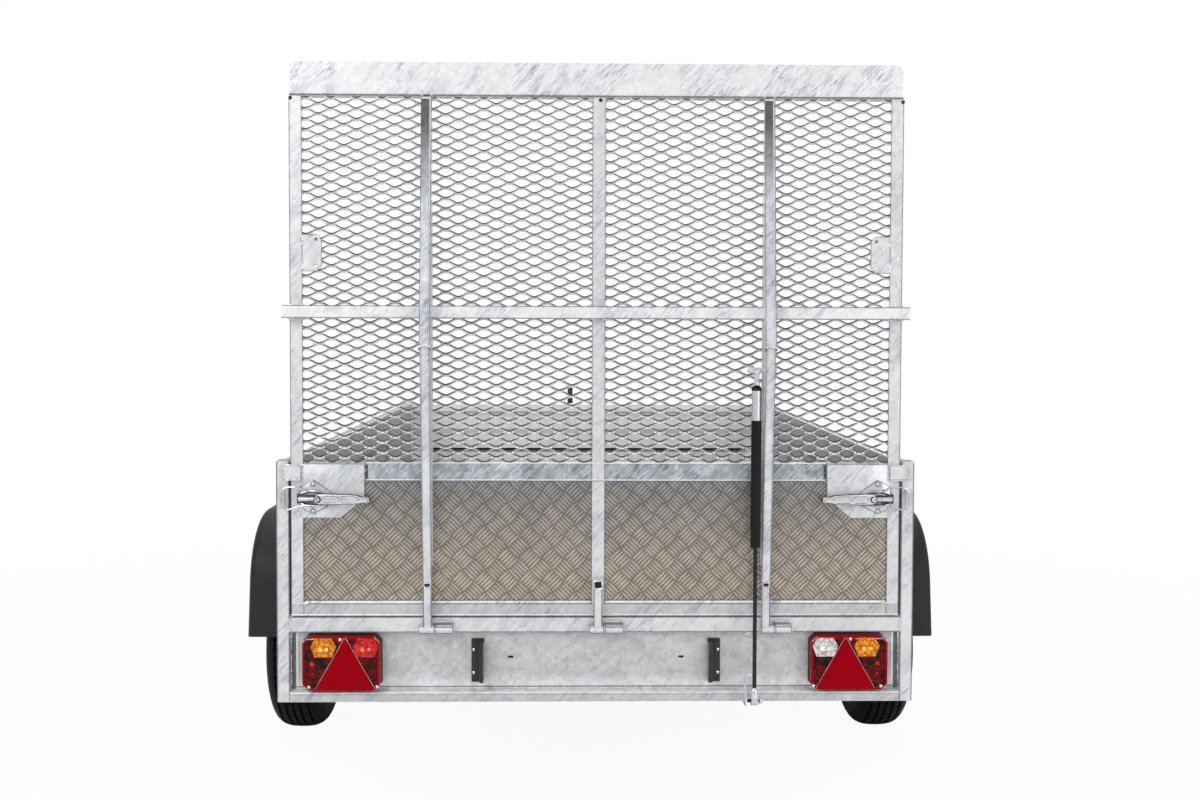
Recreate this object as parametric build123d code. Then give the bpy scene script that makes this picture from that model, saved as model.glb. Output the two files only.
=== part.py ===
"""Galvanised single-axle goods trailer with a full-height mesh ramp.

Frame: +X to the right seen from behind, +Y forward to the coupling, +Z up.
Everything is drawn with y = 0 at the rear face of the corner posts and z = 0
on the ground; at the end all pieces move together so that the origin is the
bottom centre of the whole trailer.  Millimetres throughout.
"""
from build123d import *
from math import atan2, cos, degrees, hypot, radians, sin, sqrt
import os

# ---- body ---------------------------------------------------------------
BODY_WIDTH = 1584.0          # over the corner posts
BODY_LENGTH = 2440.0         # rear posts to the outside of the front panel
DECK_TOP = 612.0             # top of the floor board above the ground
SIDE_HEIGHT = 390.0          # side rail above the floor
FLOOR_BOARD = 18.0
SHEET = 2.0                  # pressed body sheet
SWAGE = 8.0                  # depth of the pressed swages
WALL = 3.0                   # wall of the rolled tubes and angles
CORNER = 4.0                 # outer corner radius of the tubes
SEAT = 0.3                   # gap between pieces that lie on each other
PIN_GAP = 0.08               # radial running clearance of pins

POST_WIDTH = 30.0            # corner post, across
POST_DEPTH = 40.0            # corner post, along the trailer
POST_RISE = 3.0              # post above the side rail
POST_DROP = 209.0            # post below the floor top, as deep as the lamp panel
TOP_RAIL_WIDTH = 28.0
TOP_RAIL_HEIGHT = 36.0
STAKE_WIDTH = 40.0
STAKE_WALL = 2.5

# ---- chassis --------------------------------------------------------------
CROSS_DEPTH = 50.0
CROSS_WIDTH = 40.0
CROSS_COUNT = 7
RAIL_DEPTH = 60.0
RAIL_WIDTH = 40.0
RAIL_INSET = 192.0           # main rail centre inside the post's outer face
ARM_SIDE = 60.0              # drawbar arm, square
ARM_WALL = 4.0
ARM_OVERLAP = 540.0          # drawbar arms run back under the body
ARM_REACH = 1000.0           # and forward of it
ARM_INSET = 70.0             # arm centre inside the main rail at its rear end
NOSE_HALF = 66.0             # arm centre from the middle at the nose
NOSE_PLATE = 6.0
BALL_R = 25.0
BALL_GAP = 0.5
BALL_REACH = 220.0           # ball centre ahead of the nose
BALL_DROP = 32.0             # ball centre below the nose plate
HEAD_WALL = 9.0
NECK_HALF = 26.0

# ---- rear: sill, lamp panel, hinges -------------------------------------------
SILL_RISE = 4.0              # sill above the floor
SILL_HEIGHT = 38.0
SKIRT_RECESS = 20.0          # lamp panel behind the rear face
SKIRT_RAIL = 23.0            # folded rail below the lamps
SKIRT_STEP = 5.0
SKIRT_FOOT = 32.0
PLATE_SLOT_X = 214.0         # number-plate slots from the middle
PLATE_SLOT_RISE = 108.0      # above the foot of the lamp panel
PLATE_SLOT_LENGTH = 14.0
PLATE_SLOT_WIDTH = 6.0
TAIL_LAMP_WIDTH = 196.0
TAIL_LAMP_HEIGHT = 139.0
TAIL_LAMP_CORNER = 16.0
TAIL_LAMP_DEPTH = 40.0
TAIL_LAMP_INSET = 32.0       # lamp inside the corner post
PLATE_LAMP_X = 296.0
PLATE_LAMP_WIDTH = 33.0
PLATE_LAMP_HEIGHT = 111.0
HINGE_OUT = 13.0             # hinge axis behind the sill face
HINGE_DROP = 28.0            # and below the top of the sill
BARREL_R = 10.0
HINGE_PIN_R = 5.0
HINGE_GAP = 0.6              # between a ramp barrel and a fixed barrel
# middle of the ramp leg, both ends of its barrel, far end of the barrel on the sill
HINGES = [(-418.0, -440.0, -399.5, -354.0), (4.0, -18.5, 20.0, 69.0), (421.0, 409.0, 444.0, 488.0)]

# ---- ramp -----------------------------------------------------------------------
RUN_GAP = 6.0                # between the ramp and the posts
RAMP_LIFT = 3.0              # ramp above the sill
ANGLE_LEG = 30.0             # ramp angle iron
ANGLE_T = 3.0
PANEL_HEIGHT = 340.0         # bottom of the ramp to the cross angle
CROSS_ANGLE_HEIGHT = 42.0
RAMP_HEIGHT = 1286.0         # bottom of the ramp to the fold of the lip
LIP_LENGTH = 80.0
LIP_TILT = 6.0
LIP_T = 4.0
LIP_INSET = 4.0
LIP_CORNER = 18.0
CROSSBAR_RISE = 755.0        # crossbar centre above the bottom of the ramp
CROSSBAR_SIDE = 30.0
CROSSBAR_OVERHANG = 14.0
RIB_WIDTH = 25.0             # bowed rib, square tube
RIB_DEPTH = 20.0
RIB_OUT = 75.0               # how far the knee of the rib stands out
RIB_KNEE_RISE = 668.0
RIB_FOOT_RISE = 60.0
LEG_WIDTH = 20.0             # hinge leg, tube
LEG_DEPTH = 20.0
LEG_TOP_RISE = 110.0
MIDDLE_LEG_RISE = 80.0
MESH_LONG = 124.0            # long way of one diamond
MESH_SHORT = 62.0            # short way
MESH_STRAND = 9.0
MESH_T = 3.0
TREAD_T = 2.5
MIDDLE_BAR_DEPTH = 20.0
MIDDLE_FLAT = 32.0           # flat in front of the mesh
STOP_WIDTH = 42.0
STOP_HEIGHT = 34.0
STOP_T = 3.0
STOP_STANDOFF = 6.0          # stop tab behind the face of the post
LATCH_LENGTH = 156.0
LATCH_HEIGHT = 134.0
LATCH_HANDLE = 132.0
BAIL_R = 2.5
KEEPER = [(1.0, 64.0), (-8.0, 70.0), (-8.0, 96.0), (1.0, 114.0)]   # out of the post, below the side rail
KEEPER_WIDTH = 12.0

# ---- gas strut ----------------------------------------------------------------------
STRUT_X = 391.0
STRUT_PIN_OUT = 41.0         # both pins behind the rear face of the posts
STRUT_PIN_RISE = 645.0       # upper pin above the hinge axis
STRUT_LOW_DROP = 172.0       # lower pin below the hinge axis
STRUT_TUBE_R = 12.5
STRUT_TUBE_LENGTH = 400.0
STRUT_ROD_R = 5.0
STRUT_PIN_R = 4.0
STRUT_EYE_R = 10.0
STRUT_NECK = 36.0

# ---- running gear -----------------------------------------------------------------------
AXLE_Y = 1140.0              # ahead of the rear face
TYRE_R = 298.0
TYRE_WIDTH = 167.0
TYRE_GAP = 75.0              # tyre outside the body
TREAD_PITCH = 25.0           # grooves
TREAD_DEPTH = 7.0
RIM_R = 172.0
RIM_WIDTH = 128.0
AXLE_SIDE = 60.0
STUB_R = 19.0
SPRING_HALF = 390.0
SPRING_WIDTH = 60.0
SPRING_RISE = 62.0
LEAF_T = 8.0
LEAF_COUNT = 4
GUARD_GAP = 152.0            # mudguard top above the tyre
GUARD_SIDE = 25.0            # its outer face beyond the tyre
GUARD_FLAT = 140.0           # half of the flat top
GUARD_CORNER = 230.0         # radius of the two corners
GUARD_BEND = 82.0            # degrees from the top to the legs
GUARD_LEG = 167.0
GUARD_T = 4.0
GUARD_SHOULDER = 26.0
GUARD_SKIRT = 92.0           # depth of the outer skirt
GUARD_FLANGE = 34.0

# ---- jockey wheel -----------------------------------------------------------------------
JOCKEY_BACK = 110.0          # behind the nose
JOCKEY_TUBE_R = 24.0
JOCKEY_INNER_R = 20.5
JOCKEY_TUBE_BOTTOM = 400.0
JOCKEY_TUBE_LENGTH = 480.0
JOCKEY_WHEEL_R = 100.0
JOCKEY_WHEEL_WIDTH = 52.0
JOCKEY_TRAIL = 45.0
CLAMP_WALL = 9.0
CLAMP_HALF = 25.0

# ---- derived places --------------------------------------------------------------------------
HALF = BODY_WIDTH / 2
POST_IN = HALF - POST_WIDTH
SIDE_TOP = DECK_TOP + SIDE_HEIGHT
POST_TOP = SIDE_TOP + POST_RISE
POST_BOTTOM = DECK_TOP - POST_DROP
FLOOR_BOTTOM = DECK_TOP - FLOOR_BOARD
CROSS_BOTTOM = FLOOR_BOTTOM - CROSS_DEPTH
RAIL_BOTTOM = CROSS_BOTTOM - RAIL_DEPTH
ARM_BOTTOM = RAIL_BOTTOM - ARM_SIDE
RAIL_X = HALF - RAIL_INSET
SHEET_IN = POST_IN + SEAT
SHEET_OUT = SHEET_IN + SHEET
SILL_TOP = DECK_TOP + SILL_RISE
SKIRT_TOP = SILL_TOP - SILL_HEIGHT
HINGE_Y = -HINGE_OUT
HINGE_Z = SILL_TOP - HINGE_DROP
RAMP_HALF = POST_IN - RUN_GAP
RAMP_BOTTOM = SILL_TOP + RAMP_LIFT
CROSS_ANGLE_Z = RAMP_BOTTOM + PANEL_HEIGHT
MESH_BOTTOM = CROSS_ANGLE_Z + CROSS_ANGLE_HEIGHT
RAMP_FOLD = RAMP_BOTTOM + RAMP_HEIGHT
CROSSBAR_Z = RAMP_BOTTOM + CROSSBAR_RISE
STILE_IN = RAMP_HALF - ANGLE_LEG
TYRE_X = HALF + TYRE_GAP + TYRE_WIDTH / 2
GUARD_TOP = 2 * TYRE_R + GUARD_GAP
GUARD_OUT = TYRE_X + TYRE_WIDTH / 2 + GUARD_SIDE
ARM_BACK_Y = BODY_LENGTH - ARM_OVERLAP
ARM_BACK_X = RAIL_X - ARM_INSET
NOSE_Y = BODY_LENGTH + ARM_REACH
ARM_SLOPE = (ARM_BACK_X - NOSE_HALF) / (NOSE_Y - ARM_BACK_Y)
BALL_Y = NOSE_Y + BALL_REACH
BALL_Z = RAIL_BOTTOM - BALL_DROP
JOCKEY_Y = NOSE_Y - JOCKEY_BACK
STRUT_UP = (STRUT_X, -STRUT_PIN_OUT, HINGE_Z + STRUT_PIN_RISE)
STRUT_LOW = (STRUT_X, -STRUT_PIN_OUT, HINGE_Z - STRUT_LOW_DROP)

SIDES = (("left", -1), ("right", 1))
pieces = {}


# ---- shape helpers ---------------------------------------------------------------
def prism_x(points, x0, x1):
    """Polygon given as (y, z), extruded along X."""
    plane = Plane(origin=(x0, 0, 0), x_dir=(0, 1, 0), z_dir=(1, 0, 0))
    return extrude(plane * make_face(Polyline(*points, close=True)), x1 - x0)


def prism_y(points, y0, y1):
    """Polygon given as (x, z), extruded along Y."""
    plane = Plane(origin=(0, y0, 0), x_dir=(1, 0, 0), z_dir=(0, -1, 0))
    return extrude(plane * make_face(Polyline(*points, close=True)), -(y1 - y0))


def prism_z(points, z0, z1):
    """Polygon given as (x, y), extruded along Z."""
    return extrude(Plane.XY.offset(z0) * make_face(Polyline(*points, close=True)), z1 - z0)


def block(x_pair, y_pair, z_pair):
    """Rectangular block; each pair may come in either order."""
    (x0, x1), (y0, y1) = sorted(x_pair), sorted(y_pair)
    return prism_z([(x0, y0), (x1, y0), (x1, y1), (x0, y1)], *sorted(z_pair))


def tube(start, end, width, height, wall, up=(0, 0, 1)):
    """Rectangular hollow section between two points; height is measured along up."""
    start, end = Vector(*start), Vector(*end)
    run = (end - start).normalized()
    across = run.cross(Vector(*up)).normalized()
    plane = Plane(origin=start, x_dir=across, z_dir=run)
    section = RectangleRounded(width, height, min(CORNER, wall * 1.3)) - Rectangle(width - 2 * wall, height - 2 * wall)
    return extrude(plane * section, (end - start).length)


def rod(start, end, radius, bore=0.0):
    """Round bar or round tube between two points."""
    start, end = Vector(*start), Vector(*end)
    section = Circle(radius)
    if bore:
        section -= Circle(bore)
    return extrude(Plane(origin=start, z_dir=end - start) * section, (end - start).length)


def offset_path(points, t):
    """Outline of a bent sheet or bar: t thick, with points on its middle line."""
    near, far = [], []
    last = len(points) - 1
    for i, (u, v) in enumerate(points):
        before = points[i - 1] if i else (2 * u - points[1][0], 2 * v - points[1][1])
        after = points[i + 1] if i < last else (2 * u - before[0], 2 * v - before[1])
        run_in = Vector(u - before[0], v - before[1]).normalized()
        run_out = Vector(after[0] - u, after[1] - v).normalized()
        middle = (run_in + run_out).normalized()
        spread = t / 2 / middle.dot(run_in)
        near.append((u - middle.Y * spread, v + middle.X * spread))
        far.append((u + middle.Y * spread, v - middle.X * spread))
    return near + far[::-1]


def turned_x(outline, x, y, z):
    """Closed outline of (x offset, radius), turned about the X axis through (y, z)."""
    plane = Plane(origin=(x, y, z), x_dir=(1, 0, 0), z_dir=(0, -1, 0))
    return revolve(plane * make_face(Polyline(*outline, close=True)), Axis((x, y, z), (1, 0, 0)), 360)


def angle_points(leg_out, leg_up, t):
    """Angle iron section with its corner at 0, 0."""
    return [(0, 0), (leg_out, 0), (leg_out, t), (t, t), (t, leg_up), (0, leg_up)]


def swaged(start, end, face, out):
    """Sheet line along v with two pressed swages that stand out to face + out."""
    step = (end - start) / 13
    stations = [(0, 0), (2, 0), (2.6, 1), (4.8, 1), (5.4, 0), (7.6, 0), (8.2, 1), (10.4, 1), (11, 0), (13, 0)]
    return [(face + out * raised, start + step * place) for place, raised in stations]


def arm_outside(y):
    """Distance from the middle to the outer face of a drawbar arm at y."""
    return NOSE_HALF + ARM_SLOPE * (NOSE_Y - y) + ARM_SIDE / 2 * sqrt(1 + ARM_SLOPE ** 2)


# ---- chassis --------------------------------------------------------------
def build_chassis():
    front = BODY_LENGTH - POST_DEPTH
    rail_z = (RAIL_BOTTOM + CROSS_BOTTOM) / 2
    for side, sign in SIDES:
        x = sign * RAIL_X
        pieces["main_rail_" + side] = tube((x, POST_DEPTH, rail_z), (x, front - RAIL_WIDTH, rail_z),
                                           RAIL_WIDTH, RAIL_DEPTH, WALL)
    first, last = POST_DEPTH, front - CROSS_WIDTH
    members = []
    for i in range(CROSS_COUNT):
        y = first + (last - first) * i / (CROSS_COUNT - 1)
        web = [(y + CROSS_WIDTH, CROSS_BOTTOM + WALL / 2), (y + WALL / 2, CROSS_BOTTOM + WALL / 2),
               (y + WALL / 2, FLOOR_BOTTOM - WALL / 2), (y + CROSS_WIDTH, FLOOR_BOTTOM - WALL / 2)]
        members.append(prism_x(offset_path(web, WALL), -POST_IN, POST_IN))
    pieces["crossmembers"] = Compound(children=members)
    y = front - RAIL_WIDTH / 2
    pieces["front_beam"] = tube((-POST_IN, y, rail_z), (POST_IN, y, rail_z), RAIL_WIDTH, RAIL_DEPTH, WALL)
    reach = RAIL_X - RAIL_WIDTH / 2
    y = ARM_BACK_Y + RAIL_WIDTH / 2
    pieces["middle_beam"] = tube((-reach, y, rail_z), (reach, y, rail_z), RAIL_WIDTH, RAIL_DEPTH, WALL)


def build_drawbar():
    z = ARM_BOTTOM + ARM_SIDE / 2
    tip_y = NOSE_Y + NOSE_HALF / ARM_SLOPE
    clip = block((0, HALF), (0, NOSE_Y + 30), (0, DECK_TOP))
    arm = tube((ARM_BACK_X, ARM_BACK_Y, z), (0, tip_y, z), ARM_SIDE, ARM_SIDE, ARM_WALL) & clip
    pieces["drawbar_right"] = arm
    pieces["drawbar_left"] = mirror(arm, about=Plane.YZ)
    back, mid, tip = NOSE_Y - 190, NOSE_Y + 40, NOSE_Y + 90
    wide, narrow = NOSE_HALF + 68, NOSE_HALF + 20
    outline = [(-wide, back), (wide, back), (narrow, mid), (46, tip), (-46, tip), (-narrow, mid)]
    pieces["drawbar_plate"] = prism_z(outline, RAIL_BOTTOM, RAIL_BOTTOM + NOSE_PLATE)


def build_coupling():
    base = RAIL_BOTTOM + NOSE_PLATE
    top = base + 42
    back, neck = NOSE_Y - 150, BALL_Y - 60
    shell_r = BALL_R + HEAD_WALL
    outline = [(42, back), (42, neck - 10), (NECK_HALF + 4, neck + 20), (-NECK_HALF - 4, neck + 20), (-42, neck - 10), (-42, back)]
    shank = prism_z(outline, base, top)
    hollow = [(37, back - 1), (37, neck - 14), (-37, neck - 14), (-37, back - 1)]
    shank -= prism_z(hollow, base - 1, top - 5)
    nose = block((-NECK_HALF, NECK_HALF), (neck, BALL_Y), (BALL_Z, top))
    dome = Pos(0, BALL_Y, BALL_Z) * Sphere(shell_r)
    skirt = Pos(0, BALL_Y, BALL_Z - 6) * Cylinder(shell_r, 12)
    bowl = Pos(0, BALL_Y, BALL_Z) * Sphere(BALL_R + BALL_GAP)
    throat = Pos(0, BALL_Y, BALL_Z - 30) * Cylinder(BALL_R + BALL_GAP, 60)
    below = block((-60, 60), (BALL_Y - 60, BALL_Y + 60), (BALL_Z - 200, BALL_Z - 12))
    pieces["coupling_head"] = shank + nose + dome + skirt - bowl - throat - below
    path = [(neck + 4, top - 4), (neck - 16, top + 26), (neck - 150, top + 46)]
    lever = prism_x(offset_path(path, 6), -14, 14)
    lever += rod((-14, neck - 152, top + 46), (14, neck - 152, top + 46), 9)
    lever -= block((-15, 15), (neck - 20, neck + 20), (top - 30, top + SEAT))
    pieces["coupling_lever"] = lever


# ---- body -------------------------------------------------------------------
def build_body():
    edge = POST_IN - 1
    pieces["floor_deck"] = block((-edge, edge), (POST_DEPTH, BODY_LENGTH - POST_DEPTH), (FLOOR_BOTTOM, DECK_TOP))
    rear, front = POST_DEPTH, BODY_LENGTH - POST_DEPTH
    rail_bottom = SIDE_TOP - TOP_RAIL_HEIGHT
    face = SHEET_IN + SHEET / 2
    line = swaged(CROSS_BOTTOM, rail_bottom + WALL / 2, face, SWAGE)
    side = prism_y(offset_path(line, SHEET), rear, front)
    rail_x, rail_z = POST_IN + TOP_RAIL_WIDTH / 2, SIDE_TOP - TOP_RAIL_HEIGHT / 2
    side += tube((rail_x, rear, rail_z), (rail_x, front, rail_z), TOP_RAIL_WIDTH, TOP_RAIL_HEIGHT, WALL)
    span = front - rear
    for share in (0.24, 0.72):
        y = rear + span * share
        x = (face + HALF) / 2
        side += tube((x, y, CROSS_BOTTOM), (x, y, rail_bottom + 1), HALF - face, STAKE_WIDTH, STAKE_WALL, (0, 1, 0))
    pieces["side_panel_right"] = side
    pieces["side_panel_left"] = mirror(side, about=Plane.YZ)

    face = BODY_LENGTH - POST_DEPTH + 24
    edge = POST_IN - SEAT
    line = swaged(RAIL_BOTTOM, rail_bottom + WALL / 2, face, SWAGE)
    panel = prism_x(offset_path(line, SHEET), -edge, edge)
    panel += tube((-edge, face, rail_z), (edge, face, rail_z), TOP_RAIL_WIDTH, TOP_RAIL_HEIGHT, WALL)
    pieces["front_panel"] = panel
    for side, sign in SIDES:
        x = sign * (POST_IN + POST_WIDTH / 2)
        low = RAIL_BOTTOM
        y = BODY_LENGTH - POST_DEPTH / 2
        post = tube((x, y, low), (x, y, POST_TOP), POST_WIDTH, POST_DEPTH, WALL, (0, 1, 0))
        pieces["front_post_" + side] = post + post_cap(x, y)
        y = POST_DEPTH / 2
        post = tube((x, y, POST_BOTTOM), (x, y, POST_TOP), POST_WIDTH, POST_DEPTH, WALL, (0, 1, 0))
        hook = [(a, SIDE_TOP - drop) for a, drop in KEEPER]
        keeper = prism_x(offset_path(hook, WALL), x - KEEPER_WIDTH / 2, x + KEEPER_WIDTH / 2)
        pieces["rear_post_" + side] = post + post_cap(x, y) + keeper


def post_cap(x, y):
    """Plug let into the top of a corner post."""
    half_x, half_y = POST_WIDTH / 2 - WALL, POST_DEPTH / 2 - WALL
    return block((x - half_x, x + half_x), (y - half_y, y + half_y), (POST_TOP - 8, POST_TOP - 2))


def build_rear():
    sill_y, sill_z = POST_DEPTH / 2, SILL_TOP - SILL_HEIGHT / 2
    sill = tube((-POST_IN, sill_y, sill_z), (POST_IN, sill_y, sill_z), POST_DEPTH, SILL_HEIGHT, WALL)
    for leg_x, ramp_low, ramp_high, fixed_high in HINGES:
        low = ramp_high + HINGE_GAP
        lug = [(HINGE_Y, HINGE_Z - 4), (0.5, HINGE_Z - 4), (0.5, HINGE_Z + 12), (HINGE_Y, HINGE_Z + BARREL_R)]
        sill += rod((low, HINGE_Y, HINGE_Z), (fixed_high, HINGE_Y, HINGE_Z), BARREL_R)
        sill += prism_x(lug, low + 2, fixed_high - 2)
        sill += rod((ramp_low + 1, HINGE_Y, HINGE_Z), (fixed_high, HINGE_Y, HINGE_Z), HINGE_PIN_R)
    pieces["rear_sill"] = sill

    rail_top = POST_BOTTOM + SKIRT_RAIL
    half_t = WALL / 2
    line = [(SKIRT_RECESS + half_t, SKIRT_TOP), (SKIRT_RECESS + half_t, rail_top + SKIRT_STEP), (half_t, rail_top),
            (half_t, POST_BOTTOM + half_t), (SKIRT_FOOT, POST_BOTTOM + half_t)]
    panel = prism_x(offset_path(line, WALL), -POST_IN, POST_IN)
    slots = Plane(origin=(0, 0, POST_BOTTOM + PLATE_SLOT_RISE), x_dir=(1, 0, 0), z_dir=(0, -1, 0))
    for x in (-PLATE_SLOT_X, PLATE_SLOT_X):
        panel -= extrude(slots * Pos(x, 0) * SlotOverall(PLATE_SLOT_LENGTH, PLATE_SLOT_WIDTH), -60)
    pieces["light_panel"] = panel
    lamp_z = rail_top + SKIRT_STEP + WALL + TAIL_LAMP_HEIGHT / 2
    for side, sign in SIDES:
        x = sign * (POST_IN - TAIL_LAMP_INSET - TAIL_LAMP_WIDTH / 2)
        pieces["tail_lamp_" + side] = tail_lamp(x, lamp_z)
        x = sign * PLATE_LAMP_X
        foot = lamp_z - PLATE_LAMP_HEIGHT / 2
        head = lamp_z + PLATE_LAMP_HEIGHT / 2
        profile = [(0, foot), (-24, foot + 2), (-36, foot + 12), (-36, head - 12), (-24, head - 2), (0, head)]
        profile = [(SKIRT_RECESS + a, b) for a, b in profile]
        pieces["plate_lamp_" + side] = prism_x(profile, x - PLATE_LAMP_WIDTH / 2, x + PLATE_LAMP_WIDTH / 2)
    low = STRUT_LOW[2]
    plate = [(0, low - 12), (STRUT_LOW[1] - 9, low - 11), (STRUT_LOW[1] - 12, low + 8), (-14, low + 46), (0, low + 46)]
    outer = STRUT_X - 19
    pieces["strut_bracket"] = prism_x(plate, outer - 5, outer)


def tail_lamp(x, z):
    """Lamp with cut corners: a flat base and a lens body that narrows a little."""
    corner = TAIL_LAMP_CORNER
    plane = Plane(origin=(x, SKIRT_RECESS, z), x_dir=(1, 0, 0), z_dir=(0, -1, 0))
    half_w, half_h = TAIL_LAMP_WIDTH / 2, TAIL_LAMP_HEIGHT / 2
    quarter = [(half_w, half_h - corner), (half_w - corner, half_h)]
    outline = quarter + [(-a, b) for a, b in reversed(quarter)]
    outline += [(-a, -b) for a, b in outline]
    face = plane * make_face(Polyline(*outline, close=True))
    base = extrude(face, 6)
    body = extrude(face, TAIL_LAMP_DEPTH, taper=3)
    return base + body


def build_mudguards():
    """Moulded section: flat top, two round corners and legs that flare a little, one half mirrored."""
    inner = SHEET_OUT + SWAGE + SEAT
    top, s, t = GUARD_TOP, GUARD_SHOULDER, GUARD_T
    skirt = top - GUARD_SKIRT
    with BuildSketch(Plane(origin=(0, AXLE_Y, 0), x_dir=(1, 0, 0), z_dir=(0, -1, 0))) as section:
        with BuildLine():
            Polyline((inner + t, top - GUARD_FLANGE), (inner, top - GUARD_FLANGE), (inner, top), (GUARD_OUT - s, top))
            JernArc((GUARD_OUT - s, top), (1, 0), s, -90)
            Polyline((GUARD_OUT, top - s), (GUARD_OUT, skirt), (GUARD_OUT - t, skirt), (GUARD_OUT - t, top - s))
            JernArc((GUARD_OUT - t, top - s), (0, 1), s - t, 90)
            Polyline((GUARD_OUT - s, top - t), (inner + t, top - t), (inner + t, top - GUARD_FLANGE))
        make_face()
    flat = extrude(section.sketch, GUARD_FLAT)
    corner = Axis((0, AXLE_Y - GUARD_FLAT, top - GUARD_CORNER), (1, 0, 0))
    profile = Pos(0, -GUARD_FLAT, 0) * section.sketch
    bend = revolve(profile, corner, GUARD_BEND)
    turn = radians(GUARD_BEND)
    leg_plane = profile.rotate(corner, GUARD_BEND)
    leg = extrude(leg_plane, GUARD_LEG, dir=(0, -cos(turn), -sin(turn)))
    half = flat + bend + leg
    guard = half + mirror(half, about=Plane(origin=(0, AXLE_Y, 0), z_dir=(0, 1, 0)))
    pieces["mudguard_right"] = guard
    pieces["mudguard_left"] = mirror(guard, about=Plane.YZ)


# ---- running gear -----------------------------------------------------------
def build_running_gear():
    z = TYRE_R
    end = HALF - 30
    beam = tube((-end, AXLE_Y, z), (end, AXLE_Y, z), AXLE_SIDE, AXLE_SIDE, 5)
    for sign in (-1, 1):
        shoulder = sign * (TYRE_X - 45)
        beam += rod((sign * (end - 20), AXLE_Y, z), (shoulder, AXLE_Y, z), 27)
        beam += rod((shoulder, AXLE_Y, z), (sign * (TYRE_X - 13), AXLE_Y, z), STUB_R)
    pieces["axle_beam"] = beam
    for side, sign in SIDES:
        pieces["leaf_spring_" + side] = leaf_spring(sign * RAIL_X)
        build_wheel(side, sign)


def leaf_spring(x):
    """Pack of leaves on the axle, with eyes, hangers to the main rail and U-bolts."""
    seat = TYRE_R + AXLE_SIDE / 2
    x0, x1 = x - SPRING_WIDTH / 2, x + SPRING_WIDTH / 2
    pack_top = seat + LEAF_COUNT * LEAF_T
    spring = block((x0 - 14, x1 + 14), (AXLE_Y - 46, AXLE_Y + 46), (pack_top, pack_top + 8))
    for i in range(LEAF_COUNT):
        reach = SPRING_HALF * (1 - 0.2 * (LEAF_COUNT - 1 - i))
        base = seat + (i + 0.5) * LEAF_T
        line = []
        for share in (-1, -0.6, -0.2, 0.2, 0.6, 1):
            along = share * reach
            line.append((AXLE_Y + along, base + SPRING_RISE * (along / SPRING_HALF) ** 2))
        spring += prism_x(offset_path(line, LEAF_T), x0, x1)
    eye_z = seat + (LEAF_COUNT - 1) * LEAF_T + SPRING_RISE + 14
    for y in (AXLE_Y - SPRING_HALF, AXLE_Y + SPRING_HALF):
        spring += rod((x0, y, eye_z), (x1, y, eye_z), 14)
        spring += block((x0 - 6, x1 + 6), (y - 26, y + 26), (RAIL_BOTTOM - 6, RAIL_BOTTOM))
        cheek = [(y - 26, RAIL_BOTTOM), (y - 14, eye_z - 16), (y + 14, eye_z - 16), (y + 26, RAIL_BOTTOM)]
        spring += prism_x(cheek, x0 - 6, x0) + prism_x(cheek, x1, x1 + 6)
    foot = TYRE_R - AXLE_SIDE / 2
    spring += block((x0 - 14, x1 + 14), (AXLE_Y - 50, AXLE_Y + 50), (foot - 10, foot))
    for y in (AXLE_Y - 38, AXLE_Y + 38):
        for bolt_x in (x0 - 7, x1 + 7):
            spring += rod((bolt_x, y, foot - 16), (bolt_x, y, pack_top + 14), 5)
    return spring


def build_wheel(side, sign):
    half, bead = TYRE_WIDTH / 2, RIM_WIDTH / 2
    wall = [(bead - 6.6, RIM_R - 5.5), (bead - 6.6, RIM_R + 12.5), (half - 5, RIM_R + 30), (half, RIM_R + 58),
            (half - 5, TYRE_R - 38), (half - 18, TYRE_R - 14), (half - 34, TYRE_R - 2)]
    inner = [(half - 16, TYRE_R - 34), (half - 14, RIM_R + 40), (bead - 18, RIM_R + 14), (bead - 18, RIM_R - 5.5)]
    tread = []
    for groove in (1.5, 0.5, -0.5, -1.5):
        middle = groove * TREAD_PITCH
        tread += [(middle + 4, TYRE_R), (middle, TYRE_R - TREAD_DEPTH), (middle - 4, TYRE_R)]
    outline = wall + tread + [(-a, b) for a, b in reversed(wall)] + [(-a, b) for a, b in reversed(inner)] + inner
    pieces["tyre_" + side] = turned_x(outline, sign * TYRE_X, AXLE_Y, TYRE_R)
    barrel = [(-bead, RIM_R + 12), (-bead + 4, RIM_R + 12), (-bead + 6, RIM_R - 6), (-bead + 24, RIM_R - 8),
              (-bead + 34, RIM_R - 28), (bead - 34, RIM_R - 28), (bead - 24, RIM_R - 8), (bead - 6, RIM_R - 6),
              (bead - 4, RIM_R + 12), (bead, RIM_R + 12), (bead - 3, RIM_R - 11), (bead - 26, RIM_R - 13),
              (bead - 37, RIM_R - 33)]
    disc = [(30, RIM_R - 33), (14, RIM_R - 58), (14, 70), (26, 58), (26, 0), (-20, 0), (-20, 40), (-2, 44),
            (8, 62), (8, RIM_R - 55), (22, RIM_R - 33)]
    back = [(-bead + 37, RIM_R - 33), (-bead + 26, RIM_R - 13), (-bead + 3, RIM_R - 11)]
    rim = turned_x([(sign * a, b) for a, b in barrel + disc + back], sign * TYRE_X, AXLE_Y, TYRE_R)
    rim -= rod((sign * (TYRE_X - 30), AXLE_Y, TYRE_R), (sign * (TYRE_X - 11), AXLE_Y, TYRE_R), STUB_R + PIN_GAP)
    for i in range(8):
        turn = radians(22.5 + i * 45)
        y, z = AXLE_Y + (RIM_R - 76) * cos(turn), TYRE_R + (RIM_R - 76) * sin(turn)
        rim -= rod((sign * (TYRE_X - 10), y, z), (sign * (TYRE_X + 40), y, z), 11)
    pieces["rim_" + side] = rim


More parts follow.
